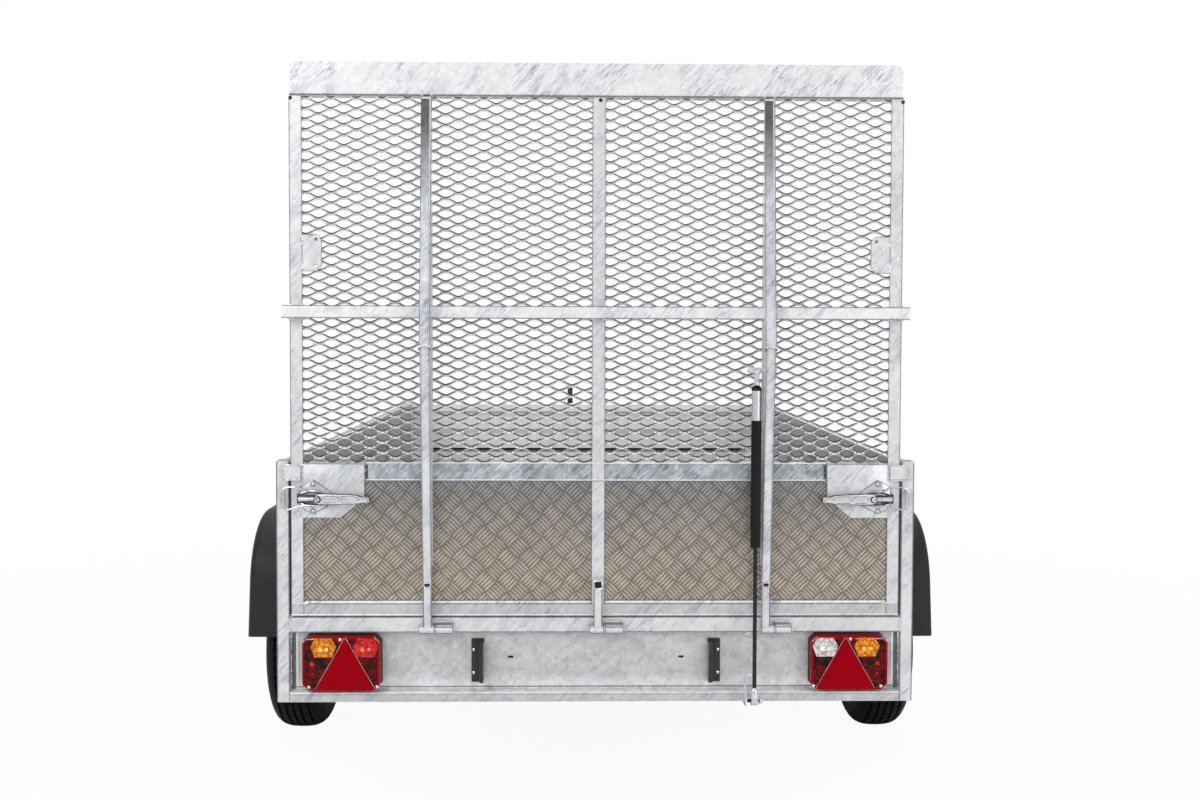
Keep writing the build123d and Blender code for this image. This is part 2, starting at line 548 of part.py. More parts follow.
# ---- jockey wheel -------------------------------------------------------------
def build_jockey():
    slant = sqrt(1 + ARM_SLOPE ** 2)
    x, y = -arm_outside(JOCKEY_Y) - (CLAMP_WALL + JOCKEY_TUBE_R) * slant - SEAT, JOCKEY_Y
    low, high = JOCKEY_TUBE_BOTTOM, JOCKEY_TUBE_BOTTOM + JOCKEY_TUBE_LENGTH
    tube_shape = rod((x, y, low), (x, y, high), JOCKEY_TUBE_R, JOCKEY_INNER_R + BALL_GAP)
    pieces["jockey_tube"] = tube_shape + rod((x, y, high), (x, y, high + 26), JOCKEY_TUBE_R + 4)
    crank_z = high + 56
    crank = rod((x, y, high + 26), (x, y, crank_z), 9)
    arm = SlotOverall(112, 24)
    crank += extrude(Plane.XY.offset(crank_z - 4) * Pos(x + 44, y) * arm, 8)
    crank += rod((x + 88, y, crank_z), (x + 88, y, crank_z + 92), 11)
    pieces["jockey_crank"] = crank
    low, high = ARM_BOTTOM + 4, RAIL_BOTTOM - 4
    ends = [(-arm_outside(end), end) for end in (y - CLAMP_HALF, y + CLAMP_HALF)]
    block_shape = prism_z(ends + [(x, y + CLAMP_HALF), (x, y - CLAMP_HALF)], low, high)
    ring = rod((x, y, low), (x, y, high), JOCKEY_TUBE_R + CLAMP_WALL)
    bore = rod((x, y, low - 5), (x, y, high + 5), JOCKEY_TUBE_R)
    screw = rod((x - 20, y - 29, (low + high) / 2), (x - 62, y - 29, (low + high) / 2), 6)
    handle = rod((x - 56, y - 75, (low + high) / 2), (x - 56, y + 17, (low + high) / 2), 6)
    pieces["jockey_clamp"] = block_shape + ring - bore + screw + handle
    stem_top = high + 206
    stem = rod((x, y, 236), (x, y, stem_top), JOCKEY_INNER_R, JOCKEY_INNER_R - 3)
    stem += rod((x, y, 226), (x, y, 240), JOCKEY_INNER_R + 5)
    pieces["jockey_stem"] = stem
    hub_y = y - JOCKEY_TRAIL
    half = JOCKEY_WHEEL_WIDTH / 2 + 5
    fork = rod((x, y, 212), (x, y, 226 - 0.6), JOCKEY_INNER_R + 6)
    fork += block((x - half - 4, x + half + 4), (y - 26, y + 26), (210, 216))
    for s in (-1, 1):
        cheek = [(hub_y - 16, 86), (hub_y + 16, 86), (y + 26, 216), (y - 26, 216)]
        fork += prism_x(cheek, *sorted((x + s * half, x + s * (half + 4))))
    axle_z = JOCKEY_WHEEL_R
    fork += rod((x - half - 10, hub_y, axle_z), (x + half + 10, hub_y, axle_z), 6)
    pieces["jockey_fork"] = fork
    r, w = JOCKEY_WHEEL_R, JOCKEY_WHEEL_WIDTH / 2
    right = [(w, 6 + PIN_GAP), (w, 24), (w - 10, 30), (w - 10, r - 36), (w, r - 28), (w, r - 12), (w - 10, r)]
    wheel = turned_x(right + [(-a, b) for a, b in reversed(right)], x, hub_y, axle_z)
    pieces["jockey_wheel"] = wheel
    print("jockey x", round(x, 3))


# ---- ramp -----------------------------------------------------------------------
def build_ramp():
    t, leg, half, inner = ANGLE_T, ANGLE_LEG, RAMP_HALF, STILE_IN
    for side, sign in SIDES:
        section = [(sign * (half - a), b) for a, b in angle_points(leg, leg, t)]
        stile = prism_z(section, RAMP_BOTTOM + leg, RAMP_FOLD - t)
        stop_z = MESH_BOTTOM - 6
        out = sign * (inner + 4)
        stop = block((out, out + sign * STOP_WIDTH), (-STOP_STANDOFF - STOP_T, -STOP_STANDOFF), (stop_z - STOP_HEIGHT, stop_z))
        stop += block((out, sign * (half - 4)), (-STOP_STANDOFF - 1, 0), (stop_z - STOP_HEIGHT, stop_z))
        plate_z = RAMP_BOTTOM + 855
        outline = [(inner, 0), (inner - 34, 0), (inner - 48, 14), (inner - 48, 76), (inner - 34, 90), (inner, 90)]
        plate = prism_y([(sign * a, plate_z + b) for a, b in outline], 0, t)
        for hole_z in (plate_z + 12, plate_z + 78):
            plate -= rod((sign * (inner - 34), -5, hole_z), (sign * (inner - 34), 9, hole_z), 4)
        pieces["ramp_stile_" + side] = stile + stop + plate
    bottom = [(b, RAMP_BOTTOM + a) for a, b in angle_points(leg, leg, t)]
    pieces["ramp_bottom_rail"] = prism_x(bottom, -half, half)
    cross = [(b, MESH_BOTTOM - a) for a, b in angle_points(CROSS_ANGLE_HEIGHT, leg, t)]
    leg_x, ramp_low, ramp_high, _ = HINGES[1]
    flat_half = MIDDLE_FLAT / 2
    notch = block((leg_x - flat_half - SEAT, leg_x + flat_half + SEAT), (-1, t + SEAT), (CROSS_ANGLE_Z - 5, MESH_BOTTOM + 5))
    pieces["ramp_cross_angle"] = prism_x(cross, -inner, inner) - notch
    build_lip()
    x0, x1 = leg_x - LEG_WIDTH / 2, leg_x + LEG_WIDTH / 2
    back = t + MESH_T + 2 * SEAT
    upper = block((x0, x1), (back, back + MIDDLE_BAR_DEPTH), (MESH_BOTTOM, RAMP_FOLD - t))
    lower = block((x0, x1), (back, back + MIDDLE_BAR_DEPTH), (RAMP_BOTTOM + t, MESH_BOTTOM - t))
    flat = block((leg_x - flat_half, leg_x + flat_half), (0, t), (RAMP_BOTTOM + leg, RAMP_FOLD - t))
    pieces["ramp_middle_bar"] = Compound(children=[flat, upper, lower])
    pieces["ramp_middle_hinge"] = hinge_leg(leg_x, ramp_low, ramp_high, RAMP_BOTTOM + MIDDLE_LEG_RISE)
    bar, z = half + CROSSBAR_OVERHANG, CROSSBAR_Z
    y = -CROSSBAR_SIDE / 2
    pieces["ramp_crossbar"] = tube((-bar, y, z), (bar, y, z), CROSSBAR_SIDE, CROSSBAR_SIDE, WALL)
    for side, row in (("left", 0), ("right", 2)):
        pieces["ramp_rib_" + side] = rib(*HINGES[row][:3])
    low, high = RAMP_BOTTOM + t + SEAT, MESH_BOTTOM - t - SEAT
    wide = half - t - SEAT
    pieces["ramp_panel"] = block((-wide, wide), (t + SEAT, t + SEAT + TREAD_T), (low, high))
    pieces["ramp_mesh"] = expanded_mesh()
    for side, sign in SIDES:
        pieces["latch_" + side] = latch(sign)


def build_lip():
    """Folded plate along the top edge of the ramp, with rounded corners."""
    wide = RAMP_HALF - LIP_INSET
    tilt = radians(LIP_TILT)
    c = LIP_CORNER
    h = LIP_LENGTH
    with BuildSketch(Plane(origin=(0, LIP_T, RAMP_FOLD), x_dir=(1, 0, 0), z_dir=(0, -cos(tilt), -sin(tilt)))) as face:
        with BuildLine():
            Polyline((wide - c, h), (-wide + c, h))
            JernArc((-wide + c, h), (-1, 0), c, 90)
            Polyline((-wide, h - c), (-wide, 0), (wide, 0), (wide, h - c))
            JernArc((wide, h - c), (0, 1), c, 90)
        make_face()
    plate = extrude(face.sketch, LIP_T)
    shelf = block((-wide, wide), (0, ANGLE_LEG), (RAMP_FOLD - ANGLE_T, RAMP_FOLD))
    fold = block((-wide, wide), (0, LIP_T), (RAMP_FOLD - ANGLE_T, RAMP_FOLD + 2))
    pieces["ramp_lip"] = plate + shelf + fold


def hinge_leg(leg_x, ramp_low, ramp_high, top):
    """Tube down over the sill to its barrel."""
    y = -LEG_DEPTH / 2
    leg = tube((leg_x, y, HINGE_Z + 4), (leg_x, y, top), LEG_WIDTH, LEG_DEPTH, 2.5, (0, 1, 0))
    leg -= block((leg_x - 20, leg_x + 20), (-3, 5), (HINGE_Z - 20, RAMP_BOTTOM))
    leg += rod((ramp_low, HINGE_Y, HINGE_Z), (ramp_high, HINGE_Y, HINGE_Z), BARREL_R)
    return leg - rod((ramp_low - 5, HINGE_Y, HINGE_Z), (ramp_high + 5, HINGE_Y, HINGE_Z), HINGE_PIN_R + PIN_GAP)


def rib(leg_x, ramp_low, ramp_high):
    """Bowed rib: two square tubes that meet at a knee, with a web back to the ramp and the hinge leg."""
    inward = -1 if leg_x > 0 else 1
    knee = (-RIB_OUT + RIB_DEPTH / 2, RAMP_BOTTOM + RIB_KNEE_RISE)
    top = (-RIB_DEPTH / 2, RAMP_FOLD - 8)
    foot = (-RIB_DEPTH / 2 - 1, RAMP_BOTTOM + RIB_FOOT_RISE + 25)
    upper = tube((leg_x, *knee), (leg_x, *top), RIB_WIDTH, RIB_DEPTH, 2.5, (0, 1, 0))
    lower = tube((leg_x, *foot), (leg_x, knee[0] + 3, knee[1] + 12), RIB_WIDTH - 3, RIB_DEPTH, 2.5, (0, 1, 0))
    web_x = leg_x + inward * (RIB_WIDTH / 2 - 4)
    web = [(-2, top[1] - 60), (-RIB_OUT + RIB_DEPTH, knee[1] + 30), (-RIB_OUT + RIB_DEPTH, knee[1] - 30),
           (-2, foot[1] + 40), (0, foot[1] + 40), (0, top[1] - 60)]
    web_plate = prism_x(web, *sorted((web_x, web_x + inward * 4)))
    side = CROSSBAR_SIDE / 2
    web_plate -= block((leg_x - 20, leg_x + 20), (-CROSSBAR_SIDE, 5), (CROSSBAR_Z - side, CROSSBAR_Z + side))
    shape = upper + lower + web_plate + hinge_leg(leg_x, ramp_low, ramp_high, RAMP_BOTTOM + LEG_TOP_RISE)
    if leg_x > 0:
        x, y, z = STRUT_UP
        shape += rod((x - 13, y, z), (web_x, y, z), STRUT_PIN_R)
        shape += rod((x - 15, y, z), (x - 9, y, z), STRUT_PIN_R + 3)
    return shape


def expanded_mesh():
    """Expanded sheet: rows of diamonds, every other row shifted by half a pitch."""
    half = RAMP_HALF - ANGLE_T - SEAT
    low, high = MESH_BOTTOM + SEAT, RAMP_FOLD - ANGLE_T - SEAT
    plane = Plane(origin=(0, ANGLE_T + SEAT, 0), x_dir=(1, 0, 0), z_dir=(0, -1, 0))
    columns = int((2 * half - 2 * MESH_STRAND) / MESH_LONG)
    rows = int((high - low - 2 * MESH_STRAND) / (MESH_SHORT / 2)) - 1
    a, b = MESH_LONG / 2 - MESH_STRAND, MESH_SHORT / 2 - MESH_STRAND / 2
    holes = []
    for row in range(rows):
        z = (low + high) / 2 + (row - (rows - 1) / 2) * MESH_SHORT / 2
        count = columns - row % 2
        for column in range(count):
            x = (column - (count - 1) / 2) * MESH_LONG
            diamond = Polyline((x - a, z), (x, z - b), (x + a, z), (x, z + b), close=True)
            holes.append(Wire(plane * diamond))
    border = Wire(plane * Polyline((-half, low), (half, low), (half, high), (-half, high), close=True))
    return Solid.extrude(Face(border, holes), Vector(0, MESH_T, 0))


def latch(sign):
    """Over-centre latch: corner plate, diamond base, channel handle and wire bail."""
    edge = STILE_IN
    top = MESH_BOTTOM - 4
    def across(points):
        return [(sign * (edge - a), b) for a, b in points]
    plate = prism_y(across([(-4, top), (LATCH_LENGTH, top), (LATCH_LENGTH, top - 82), (LATCH_LENGTH - 62, top - LATCH_HEIGHT),
                            (-4, top - LATCH_HEIGHT)]), -ANGLE_T, 0)
    z = top - 84
    base = prism_y(across([(4, z + 8), (30, z + 40), (44, z + 40), (78, z + 6), (78, z - 6), (44, z - 40), (30, z - 40),
                           (4, z - 8)]), -ANGLE_T - 2, -ANGLE_T)
    handle = block((sign * (edge - 38), sign * (edge - 38 - LATCH_HANDLE)), (-26, -12), (z - 13, z + 13))
    handle -= block((sign * (edge - 46), sign * (edge - 30 - LATCH_HANDLE)), (-22, -10), (z - 10, z + 10))
    handle += block((sign * (edge - 14), sign * (edge - 46)), (-22, -ANGLE_T), (z - 8, z + 8))
    bend = [(edge - 48, 15), (POST_IN - 2, 25), (POST_IN + POST_WIDTH / 2, 22)]
    wire = [(sign * a, -17, z - b) for a, b in bend] + [(sign * a, -17, z + b) for a, b in reversed(bend)]
    bail = sweep(Plane(origin=wire[0], z_dir=Vector(*wire[1]) - Vector(*wire[0])) * Circle(BAIL_R), Polyline(*wire),
                 transition=Transition.RIGHT)
    bail += rod((sign * (edge - 47), -17, z - 17), (sign * (edge - 47), -17, z + 17), BAIL_R + 1)
    return plate + base + handle + bail


# ---- gas strut --------------------------------------------------------------------
def build_strut():
    up, low = Vector(*STRUT_UP), Vector(*STRUT_LOW)
    run = (low - up).normalized()
    across = Vector(1, 0, 0)
    tube_top = up + run * STRUT_NECK
    tube_end = tube_top + run * STRUT_TUBE_LENGTH
    cylinder = rod(tube_top, tube_end, STRUT_TUBE_R, STRUT_ROD_R + 1.5)
    cylinder += rod(up + run * 6, tube_top + run * 2, STRUT_EYE_R - 3)
    eye = rod(up - across * 8, up + across * 8, STRUT_EYE_R)
    pieces["strut_cylinder"] = cylinder + eye - rod(up - across * 10, up + across * 10, STRUT_PIN_R + PIN_GAP)
    piston = rod(low - run * 6, tube_end - run * 26, STRUT_ROD_R)
    piston += rod(low - across * 7, low + across * 7, STRUT_EYE_R)
    piston += rod(low - across * (19 - SEAT), low + across * 13, STRUT_PIN_R)
    pieces["strut_rod"] = piston


build_chassis()
build_drawbar()
build_coupling()
build_body()
build_rear()
build_mudguards()
build_running_gear()
build_jockey()
build_ramp()
build_strut()

# ---- move to the bottom centre and write ------------------------------------------
boxes = [shape.bounding_box() for shape in pieces.values()]
low = [min(getattr(b.min, axis) for b in boxes) for axis in "XYZ"]
high = [max(getattr(b.max, axis) for b in boxes) for axis in "XYZ"]
shift = Vector(-(low[0] + high[0]) / 2, -(low[1] + high[1]) / 2, -low[2])
print("moved by", round(shift.X, 3), round(shift.Y, 3), round(shift.Z, 3))
print("size", [round(high[i] - low[i], 1) for i in range(3)])
os.makedirs("parts", exist_ok=True)
for name, shape in pieces.items():
    export_step(Pos(shift) * shape, os.path.join("parts", name + ".step"))
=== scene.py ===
import bmesh
import bpy
import random
from bmesh import ops
from itertools import count
from math import atan2, cos, hypot, pi, radians, sin
from mathutils import Matrix, Vector


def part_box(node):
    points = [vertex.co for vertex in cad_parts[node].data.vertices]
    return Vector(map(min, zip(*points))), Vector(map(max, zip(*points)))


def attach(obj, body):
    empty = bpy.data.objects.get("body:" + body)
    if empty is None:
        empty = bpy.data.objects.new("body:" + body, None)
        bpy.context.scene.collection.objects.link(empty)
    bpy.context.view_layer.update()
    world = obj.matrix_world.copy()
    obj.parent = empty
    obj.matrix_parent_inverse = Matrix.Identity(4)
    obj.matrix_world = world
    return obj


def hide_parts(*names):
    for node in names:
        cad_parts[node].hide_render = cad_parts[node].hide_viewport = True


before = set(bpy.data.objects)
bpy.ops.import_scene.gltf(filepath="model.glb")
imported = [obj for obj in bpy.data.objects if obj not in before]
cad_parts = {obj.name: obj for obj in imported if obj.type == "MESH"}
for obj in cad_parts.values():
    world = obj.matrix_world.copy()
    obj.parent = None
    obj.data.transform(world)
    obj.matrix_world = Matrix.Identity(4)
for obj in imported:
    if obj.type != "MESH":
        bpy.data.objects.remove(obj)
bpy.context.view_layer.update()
MM = 0.001
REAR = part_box("side_panel_left")[0].y - 40 * MM  # rear face of the corner posts
OUT, UP, ACROSS = (0, -1, 0), (0, 0, 1), (1, 0, 0)  # to the rear, up and to the right
SIDES = (("left", -1), ("right", 1))


def at(x, y, z):
    """A place in millimetres from the middle, the rear face of the posts and the ground."""
    return Vector((x * MM, REAR + y * MM, z * MM))


def middle(name):
    """The centre of a CAD node's box, in metres."""
    low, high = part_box(name)
    return (low + high) / 2


def origin(name):
    """The centre of a CAD node's box, in millimetres as at() takes them."""
    (x0, y0, z0), (x1, y1, z1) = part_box(name)
    return (x0 + x1) / 2 / MM, ((y0 + y1) / 2 - REAR) / MM, (z0 + z1) / 2 / MM


def flat(pairs, y, x=0, z=0):
    """Places at one depth from pairs of x and z."""
    return [(x + a, y, z + b) for a, b in pairs]


AXLE_Y = middle("tyre_left").y


# ---- surfaces
LOOK = {}  # every material by its name


def grey(level):
    return (level,) * 3


class Tree:
    """A node tree and short ways to add to it. An input takes a plain value or the output to link to it."""

    def __init__(self, tree):
        self.tree = tree

    def plug(self, target, source):
        if isinstance(source, (int, float, tuple)):
            target.default_value = source
        else:
            self.tree.links.new(source, target)

    def node(self, kind, inputs=None, **values):
        made = self.tree.nodes.new("ShaderNode" + kind)
        for key, value in values.items():
            setattr(made, key, value)
        for key, source in (inputs or {}).items():
            self.plug(made.inputs[key], source)
        return made

    def mix(self, factor, a, b):
        made = self.node("Mix", {"Factor": factor}, data_type="RGBA")
        colors = [s for s in made.inputs if s.type == "RGBA"]
        self.plug(colors[0], a)
        self.plug(colors[1], b)
        return next(s for s in made.outputs if s.type == "RGBA")

    def math(self, kind, a, b, clamp=False):
        return self.node("Math", {0: a, 1: b}, operation=kind, use_clamp=clamp).outputs[0]

    def times(self, a, b, clamp=False):
        return self.math("MULTIPLY", a, b, clamp)

    def plus(self, a, b, clamp=False):
        return self.math("ADD", a, b, clamp)

    def span(self, value, low, high, to_low=0, to_high=1):
        inputs = {"Value": value, "From Min": low, "From Max": high, "To Min": to_low, "To Max": to_high}
        return self.node("MapRange", inputs).outputs[0]


class Shader(Tree):
    """A material with one principled surface."""

    def __init__(self, name, color, rough, metal=0, coat=0, shine=0.5):
        self.mat = LOOK[name] = bpy.data.materials.new(name)
        self.mat.use_nodes = True
        super().__init__(self.mat.node_tree)
        self.surface = self.tree.nodes["Principled BSDF"].inputs
        for key, value in (("Base Color", (*color, 1)), ("Roughness", rough), ("Metallic", metal),
                           ("Coat Weight", coat), ("Specular IOR Level", shine)):
            self.surface[key].default_value = value

    def bump(self, height, strength=1):
        made = self.node("Bump", {"Strength": strength, "Distance": 0.001, "Height": height})
        self.plug(self.surface["Normal"], made.outputs["Normal"])

    def wear(self, finish, *values):
        """Gives a finish group its inputs in order and joins its outputs to the surface."""
        made = self.node("Group", node_tree=finish)
        for socket, value in zip(made.inputs, values):
            socket.default_value = (*value, 1) if isinstance(value, tuple) else value
        self.plug(self.surface["Base Color"], made.outputs["Color"])
        self.plug(self.surface["Roughness"], made.outputs["Roughness"])
        self.bump(made.outputs["Height"])


class Group(Tree):
    """A finish that several materials share: colours and strengths in; colour, roughness and height out."""
    colors = ("Base", "Streak", "Scuff", "Fade", "Color")

    def __init__(self, name, inputs):
        super().__init__(bpy.data.node_groups.new(name, "ShaderNodeTree"))
        for way, keys in (("INPUT", inputs), ("OUTPUT", "Color Roughness Height")):
            for key in keys.split():
                kind = "NodeSocketColor" if key in self.colors else "NodeSocketFloat"
                self.tree.interface.new_socket(key, in_out=way, socket_type=kind)
        self.inside = self.tree.nodes.new("NodeGroupInput").outputs
        self.out = self.tree.nodes.new("NodeGroupOutput").inputs
        self.coords = self.node("TexCoord").outputs["Object"]

    def finish(self, color, rough, height):
        for target, source in zip(self.out, (color, rough, height)):
            self.plug(target, source)
        return self.tree

    def stretched(self, sizes, lean=0):
        """Coordinates leant by some degrees, then divided by the pattern's sizes."""
        inputs = {"Vector": self.coords, "Scale": sizes, "Rotation": (0, radians(lean), 0)}
        return self.node("Mapping", inputs, vector_type="TEXTURE").outputs["Vector"]

    def warped(self, amount):
        """Coordinates pushed about a little, so that cells get ragged borders."""
        push = self.node("TexNoise", {"Scale": 110, "Vector": self.coords}).outputs["Color"]
        made = self.node("VectorMath", {0: push, 1: grey(amount), 2: self.coords}, operation="MULTIPLY_ADD")
        return made.outputs[0]

    def noise(self, vector, scale, detail=3, rough=0.55, distortion=0):
        inputs = dict(Vector=vector, Scale=scale, Detail=detail, Roughness=rough, Distortion=distortion)
        return self.node("TexNoise", inputs).outputs["Fac"]


def zinc_finish():
    """Hot-dip zinc: drag streaks, bright scratches, spangle flakes, small runs and a fade with height, which
    paints light and shade that change with height.
    """
    g = Group("zinc_finish", "Base Streak Streaks Spangle Gloss Cloud Runs Scratch Fade From To")
    given = g.inside
    fine = g.noise(g.stretched((0.016, 0.016, 0.13), 44), 3, 5, 0.7)
    broad = g.noise(g.stretched((0.05, 0.05, 0.24), 38), 3, 4, 0.6)
    patch = g.span(g.noise(g.coords, 5, 5, 0.7, 1.2), 0.4, 0.58)
    drags = g.math("MAXIMUM", g.times(g.span(fine, 0.5, 0.62), patch),
                   g.times(g.span(broad, 0.5, 0.66, 0, 0.7), patch))
    mask = g.times(drags, given["Streaks"], True)
    cloud = g.span(g.noise(g.coords, 16, 6, 0.75), 0.3, 0.7, -1, 1)
    cells = g.node("TexVoronoi", {"Vector": g.warped(0.006), "Scale": 80}).outputs["Color"]
    flakes = g.math("SUBTRACT", g.node("SeparateColor", {"Color": cells}).outputs[0], 0.5)
    tone = g.plus(g.plus(g.times(cloud, given["Cloud"]), g.times(flakes, given["Spangle"])), 1)
    color = g.mix(mask, given["Base"], given["Streak"])
    scratches = g.noise(g.stretched((0.006, 0.006, 0.16), 50), 3, 3, 0.6)
    color = g.mix(g.times(g.span(scratches, 0.6, 0.66), given["Scratch"]), color, (0.93, 0.94, 0.96, 1))
    level = g.node("SeparateXYZ", {0: g.coords}).outputs["Z"]
    # painted light and shade: the colour changes between two heights
    color = g.mix(g.span(level, given["From"], given["To"]), color, given["Fade"])
    color = g.node("VectorMath", {0: color, "Scale": tone}, operation="SCALE").outputs[0]
    rough = g.plus(g.plus(given["Gloss"], g.times(flakes, 0.16)), g.times(mask, 0.12), True)
    runs = g.span(g.noise(g.stretched((0.017, 0.017, 0.06)), 1.6, 2, 0.5), 0.58, 0.75)
    return g.finish(color, rough, g.plus(g.times(runs, given["Runs"]), g.times(fine, 0.15)))


def grain_finish():
    """Moulded or painted skin: a base colour with a little variation, fine grain and scuffs."""
    g = Group("grain_finish", "Base Scuff Scuffs Gloss Grain Scale")
    given = g.inside
    cloud = g.noise(g.coords, 9, 4, 0.6)
    scuff = g.span(g.noise(g.stretched((0.2, 0.2, 0.8)), 6, 5, 0.7), 0.55, 0.8)
    color = g.mix(g.times(scuff, given["Scuffs"], True), given["Base"], given["Scuff"])
    rough = g.plus(given["Gloss"], g.span(cloud, 0.3, 0.7, -0.06, 0.08), True)
    return g.finish(color, rough, g.times(g.noise(g.coords, given["Scale"], 2, 0.5), given["Grain"]))


ZINC, GRAIN = zinc_finish(), grain_finish()


def zinc(name, base, streak, streaks, spangle, gloss, cloud, runs=0.25, metal=0.25, scratch=0.35,
         fade=grey(0.3), start=90, end=91):
    """Zinc whose marks have the given strengths. It fades to another colour between two heights in metres, as
    painted light and shade.
    """
    made = Shader(name, base, gloss, metal)
    made.wear(ZINC, base, streak, streaks, spangle, gloss, cloud, runs, scratch, fade, start, end)


def moulded(name, base, scuff, scuffs, gloss, grain, scale=900, metal=0, coat=0, shine=0.5):
    made = Shader(name, base, gloss, metal, coat, shine)
    made.wear(GRAIN, base, scuff, scuffs, gloss, grain, scale)


def lens(name, base, bright, scale, rough=0.07, shine=0.25):
    """Moulded lens plastic: facets under a glossy skin, with painted reflection in brighter patches where the
    reflector shows.
    """
    made = Shader(name, base, rough, 0, shine, shine)
    place = made.node("TexCoord").outputs["Object"]
    facets = made.node("TexVoronoi", {"Vector": place, "Scale": scale}).outputs["Distance"]
    made.plug(made.surface["Base Color"], made.mix(made.span(facets, 0.15, 0.75), (*bright, 1), (*base, 1)))
    made.bump(facets, 0.35)


def painted_edge_shade(name, dark, blend):
    """Painted shade: the base colour turns darker where surfaces turn away, as polished metal reads darker in
    a pale room.
    """
    made = Tree(LOOK[name].node_tree)
    color = made.tree.nodes["Principled BSDF"].inputs["Base Color"]
    facing = made.node("LayerWeight", {"Blend": blend}).outputs["Facing"]
    made.plug(color, made.mix(facing, color.links[0].from_socket, (*dark, 1)))


USUAL = (0.25, 0.25, 0.35)  # runs, metal and scratch
PLATED = ((0.8, 0.81, 0.84), (0.4, 0.43, 0.48), 0.4, 0.05, 0.2, 0.1, 0.1, 0.7)
MESH_FADE = (1.05, 1.35)  # heights in metres where the side rails stop showing behind the mesh; between them the strands' painted light changes tone
TREAD_FADE = (0.76, 0.98)  # from the lit to the shaded end of the lower panel
BAR = ((0.34, 0.31, 0.27), 0.4, 0.03, 0.28, 0.16, 0.05, 0.55, 0.5, (0.34, 0.34, 0.345), *TREAD_FADE)
# base, streak, streaks, spangle, gloss, cloud, runs, metal, scratch, then the fade's colour, start and end
for name, row in {
    "frame_zinc": ((0.72, 0.73, 0.745), (0.36, 0.39, 0.46), 0.85, 0.06, 0.34, 0.1),
    "lip_zinc": ((0.865, 0.87, 0.885), (0.34, 0.375, 0.45), 1, 0.04, 0.32, 0.06, 0.2, 0.2, 0.7),
    "sheet_zinc": ((0.41, 0.41, 0.413), (0.34, 0.35, 0.37), 0.3, 0.16, 0.42, 0.12, 0.1),
    "front_zinc": (grey(0.98), (0.62, 0.64, 0.67), 0.3, 0.1, 0.4, 0.1, 0.1, 0),
    # painted shade and light: darker above 0.47 m under the sill, paler below 0.437 m
    "lamp_panel_zinc": ((0.53, 0.54, 0.555), (0.44, 0.46, 0.48), 0.35, 0.24, 0.34, 0.12, 0.1, 0.25, 0.3,
                        (0.76, 0.77, 0.79), 0.47, 0.437),
    "rail_zinc": ((0.55, 0.56, 0.575), (0.3, 0.32, 0.36), 0.9, 0.1, 0.34, 0.14),
    "under_zinc": ((0.5, 0.51, 0.53), (0.33, 0.35, 0.39), 0.5, 0.12, 0.48, 0.1),
    "angle_zinc": ((0.42, 0.445, 0.49), (0.17, 0.19, 0.24), 1, 0.35, 0.3, 0.34, 0.4, 0.25, 1),
    "rib_zinc": ((0.72, 0.73, 0.76), (0.36, 0.38, 0.43), 0.8, 0.08, 0.34, 0.14),
    # painted shade: the rib's upper face darkens to near black towards the top
    "rib_dark": ((0.68, 0.7, 0.76), (0.2, 0.22, 0.28), 1, 0.08, 0.3, 0.25, 0.2, 0.3, 0.6,
                 (0.11, 0.105, 0.108), 1.62, 1.84),
    "plated": PLATED,
    "latch_steel": PLATED,
    # painted shade: near black lines round the latch parts
    "latch_dark": ((0.045, 0.045, 0.055), (0.1, 0.1, 0.12), 0.4, 0.05, 0.4, 0.3, 0.1),
    "chrome": ((0.85, 0.86, 0.88), (0.5, 0.5, 0.52), 0.1, 0, 0.12, 0.02, 0, 0.95),
    "bare_steel": ((0.72, 0.73, 0.75), (0.5, 0.5, 0.55), 0.2, 0.02, 0.22, 0.04, 0, 0.6),
    # painted shade and painted highlight: dark and bright lines along edges
    "edge_dark": ((0.2, 0.21, 0.23), (0.1, 0.1, 0.12), 0.6, 0.05, 0.4, 0.3, 0.1),
    "edge_bright": ((0.98, 0.98, 1), (0.6, 0.62, 0.66), 0.4, 0.05, 0.3, 0.1, 0.1),
    # painted light and shade: lit, dim-lit, shaded and half-shaded copies of one strand metal
    "strand_light": ((0.98, 0.98, 0.99), (0.6, 0.6, 0.62), 0.5, 0.1, 0.3, 0.1, *USUAL, (0.64, 0.64, 0.66),
                     *MESH_FADE),
    "strand_pale": ((0.55, 0.56, 0.59), (0.35, 0.37, 0.4), 0.5, 0.1, 0.35, 0.1, *USUAL, (0.86, 0.86, 0.88),
                    *MESH_FADE),
    "strand_dark": ((0.05, 0.048, 0.05), grey(0.2), 0.4, 0.1, 0.5, 0.3, 0.2, 0.1, 0.1),
    "strand_mid": ((0.24, 0.24, 0.25), grey(0.4), 0.6, 0.1, 0.5, 0.3, 0.2, 0.2, 0.3),
    "tread": ((0.55, 0.465, 0.37), *BAR),
    # painted reflection: bars leaning one way take this cooler copy of the tread
    "tread_cool": ((0.48, 0.43, 0.375), *BAR),
    "tread_shade": ((0.13, 0.11, 0.09), grey(0.1), 0.4, 0.03, 0.4, 0.2, 0.05, 0.4, 0.1, grey(0.07),
                     *TREAD_FADE),
    "tread_lit": ((0.98, 0.8, 0.6), (0.5, 0.44, 0.38), 0.5, 0.03, 0.26, 0.2, 0.05, 0.5, 0.5,
                  (0.5, 0.49, 0.48), *TREAD_FADE),
    # painted shade: the flat field between the bars, darker than the bars
    "tread_field": ((0.25, 0.21, 0.17), (0.18, 0.16, 0.14), 0.5, 0.03, 0.36, 0.16, 0.05, 0.5, 0.3,
                    (0.17, 0.165, 0.16), *TREAD_FADE),
}.items():
    zinc(name, *row)
# painted shade at the turned-away edges of chrome and latch steel
painted_edge_shade("chrome", (0.05, 0.05, 0.06), 0.45)
painted_edge_shade("latch_steel", (0.02, 0.02, 0.03), 0.55)

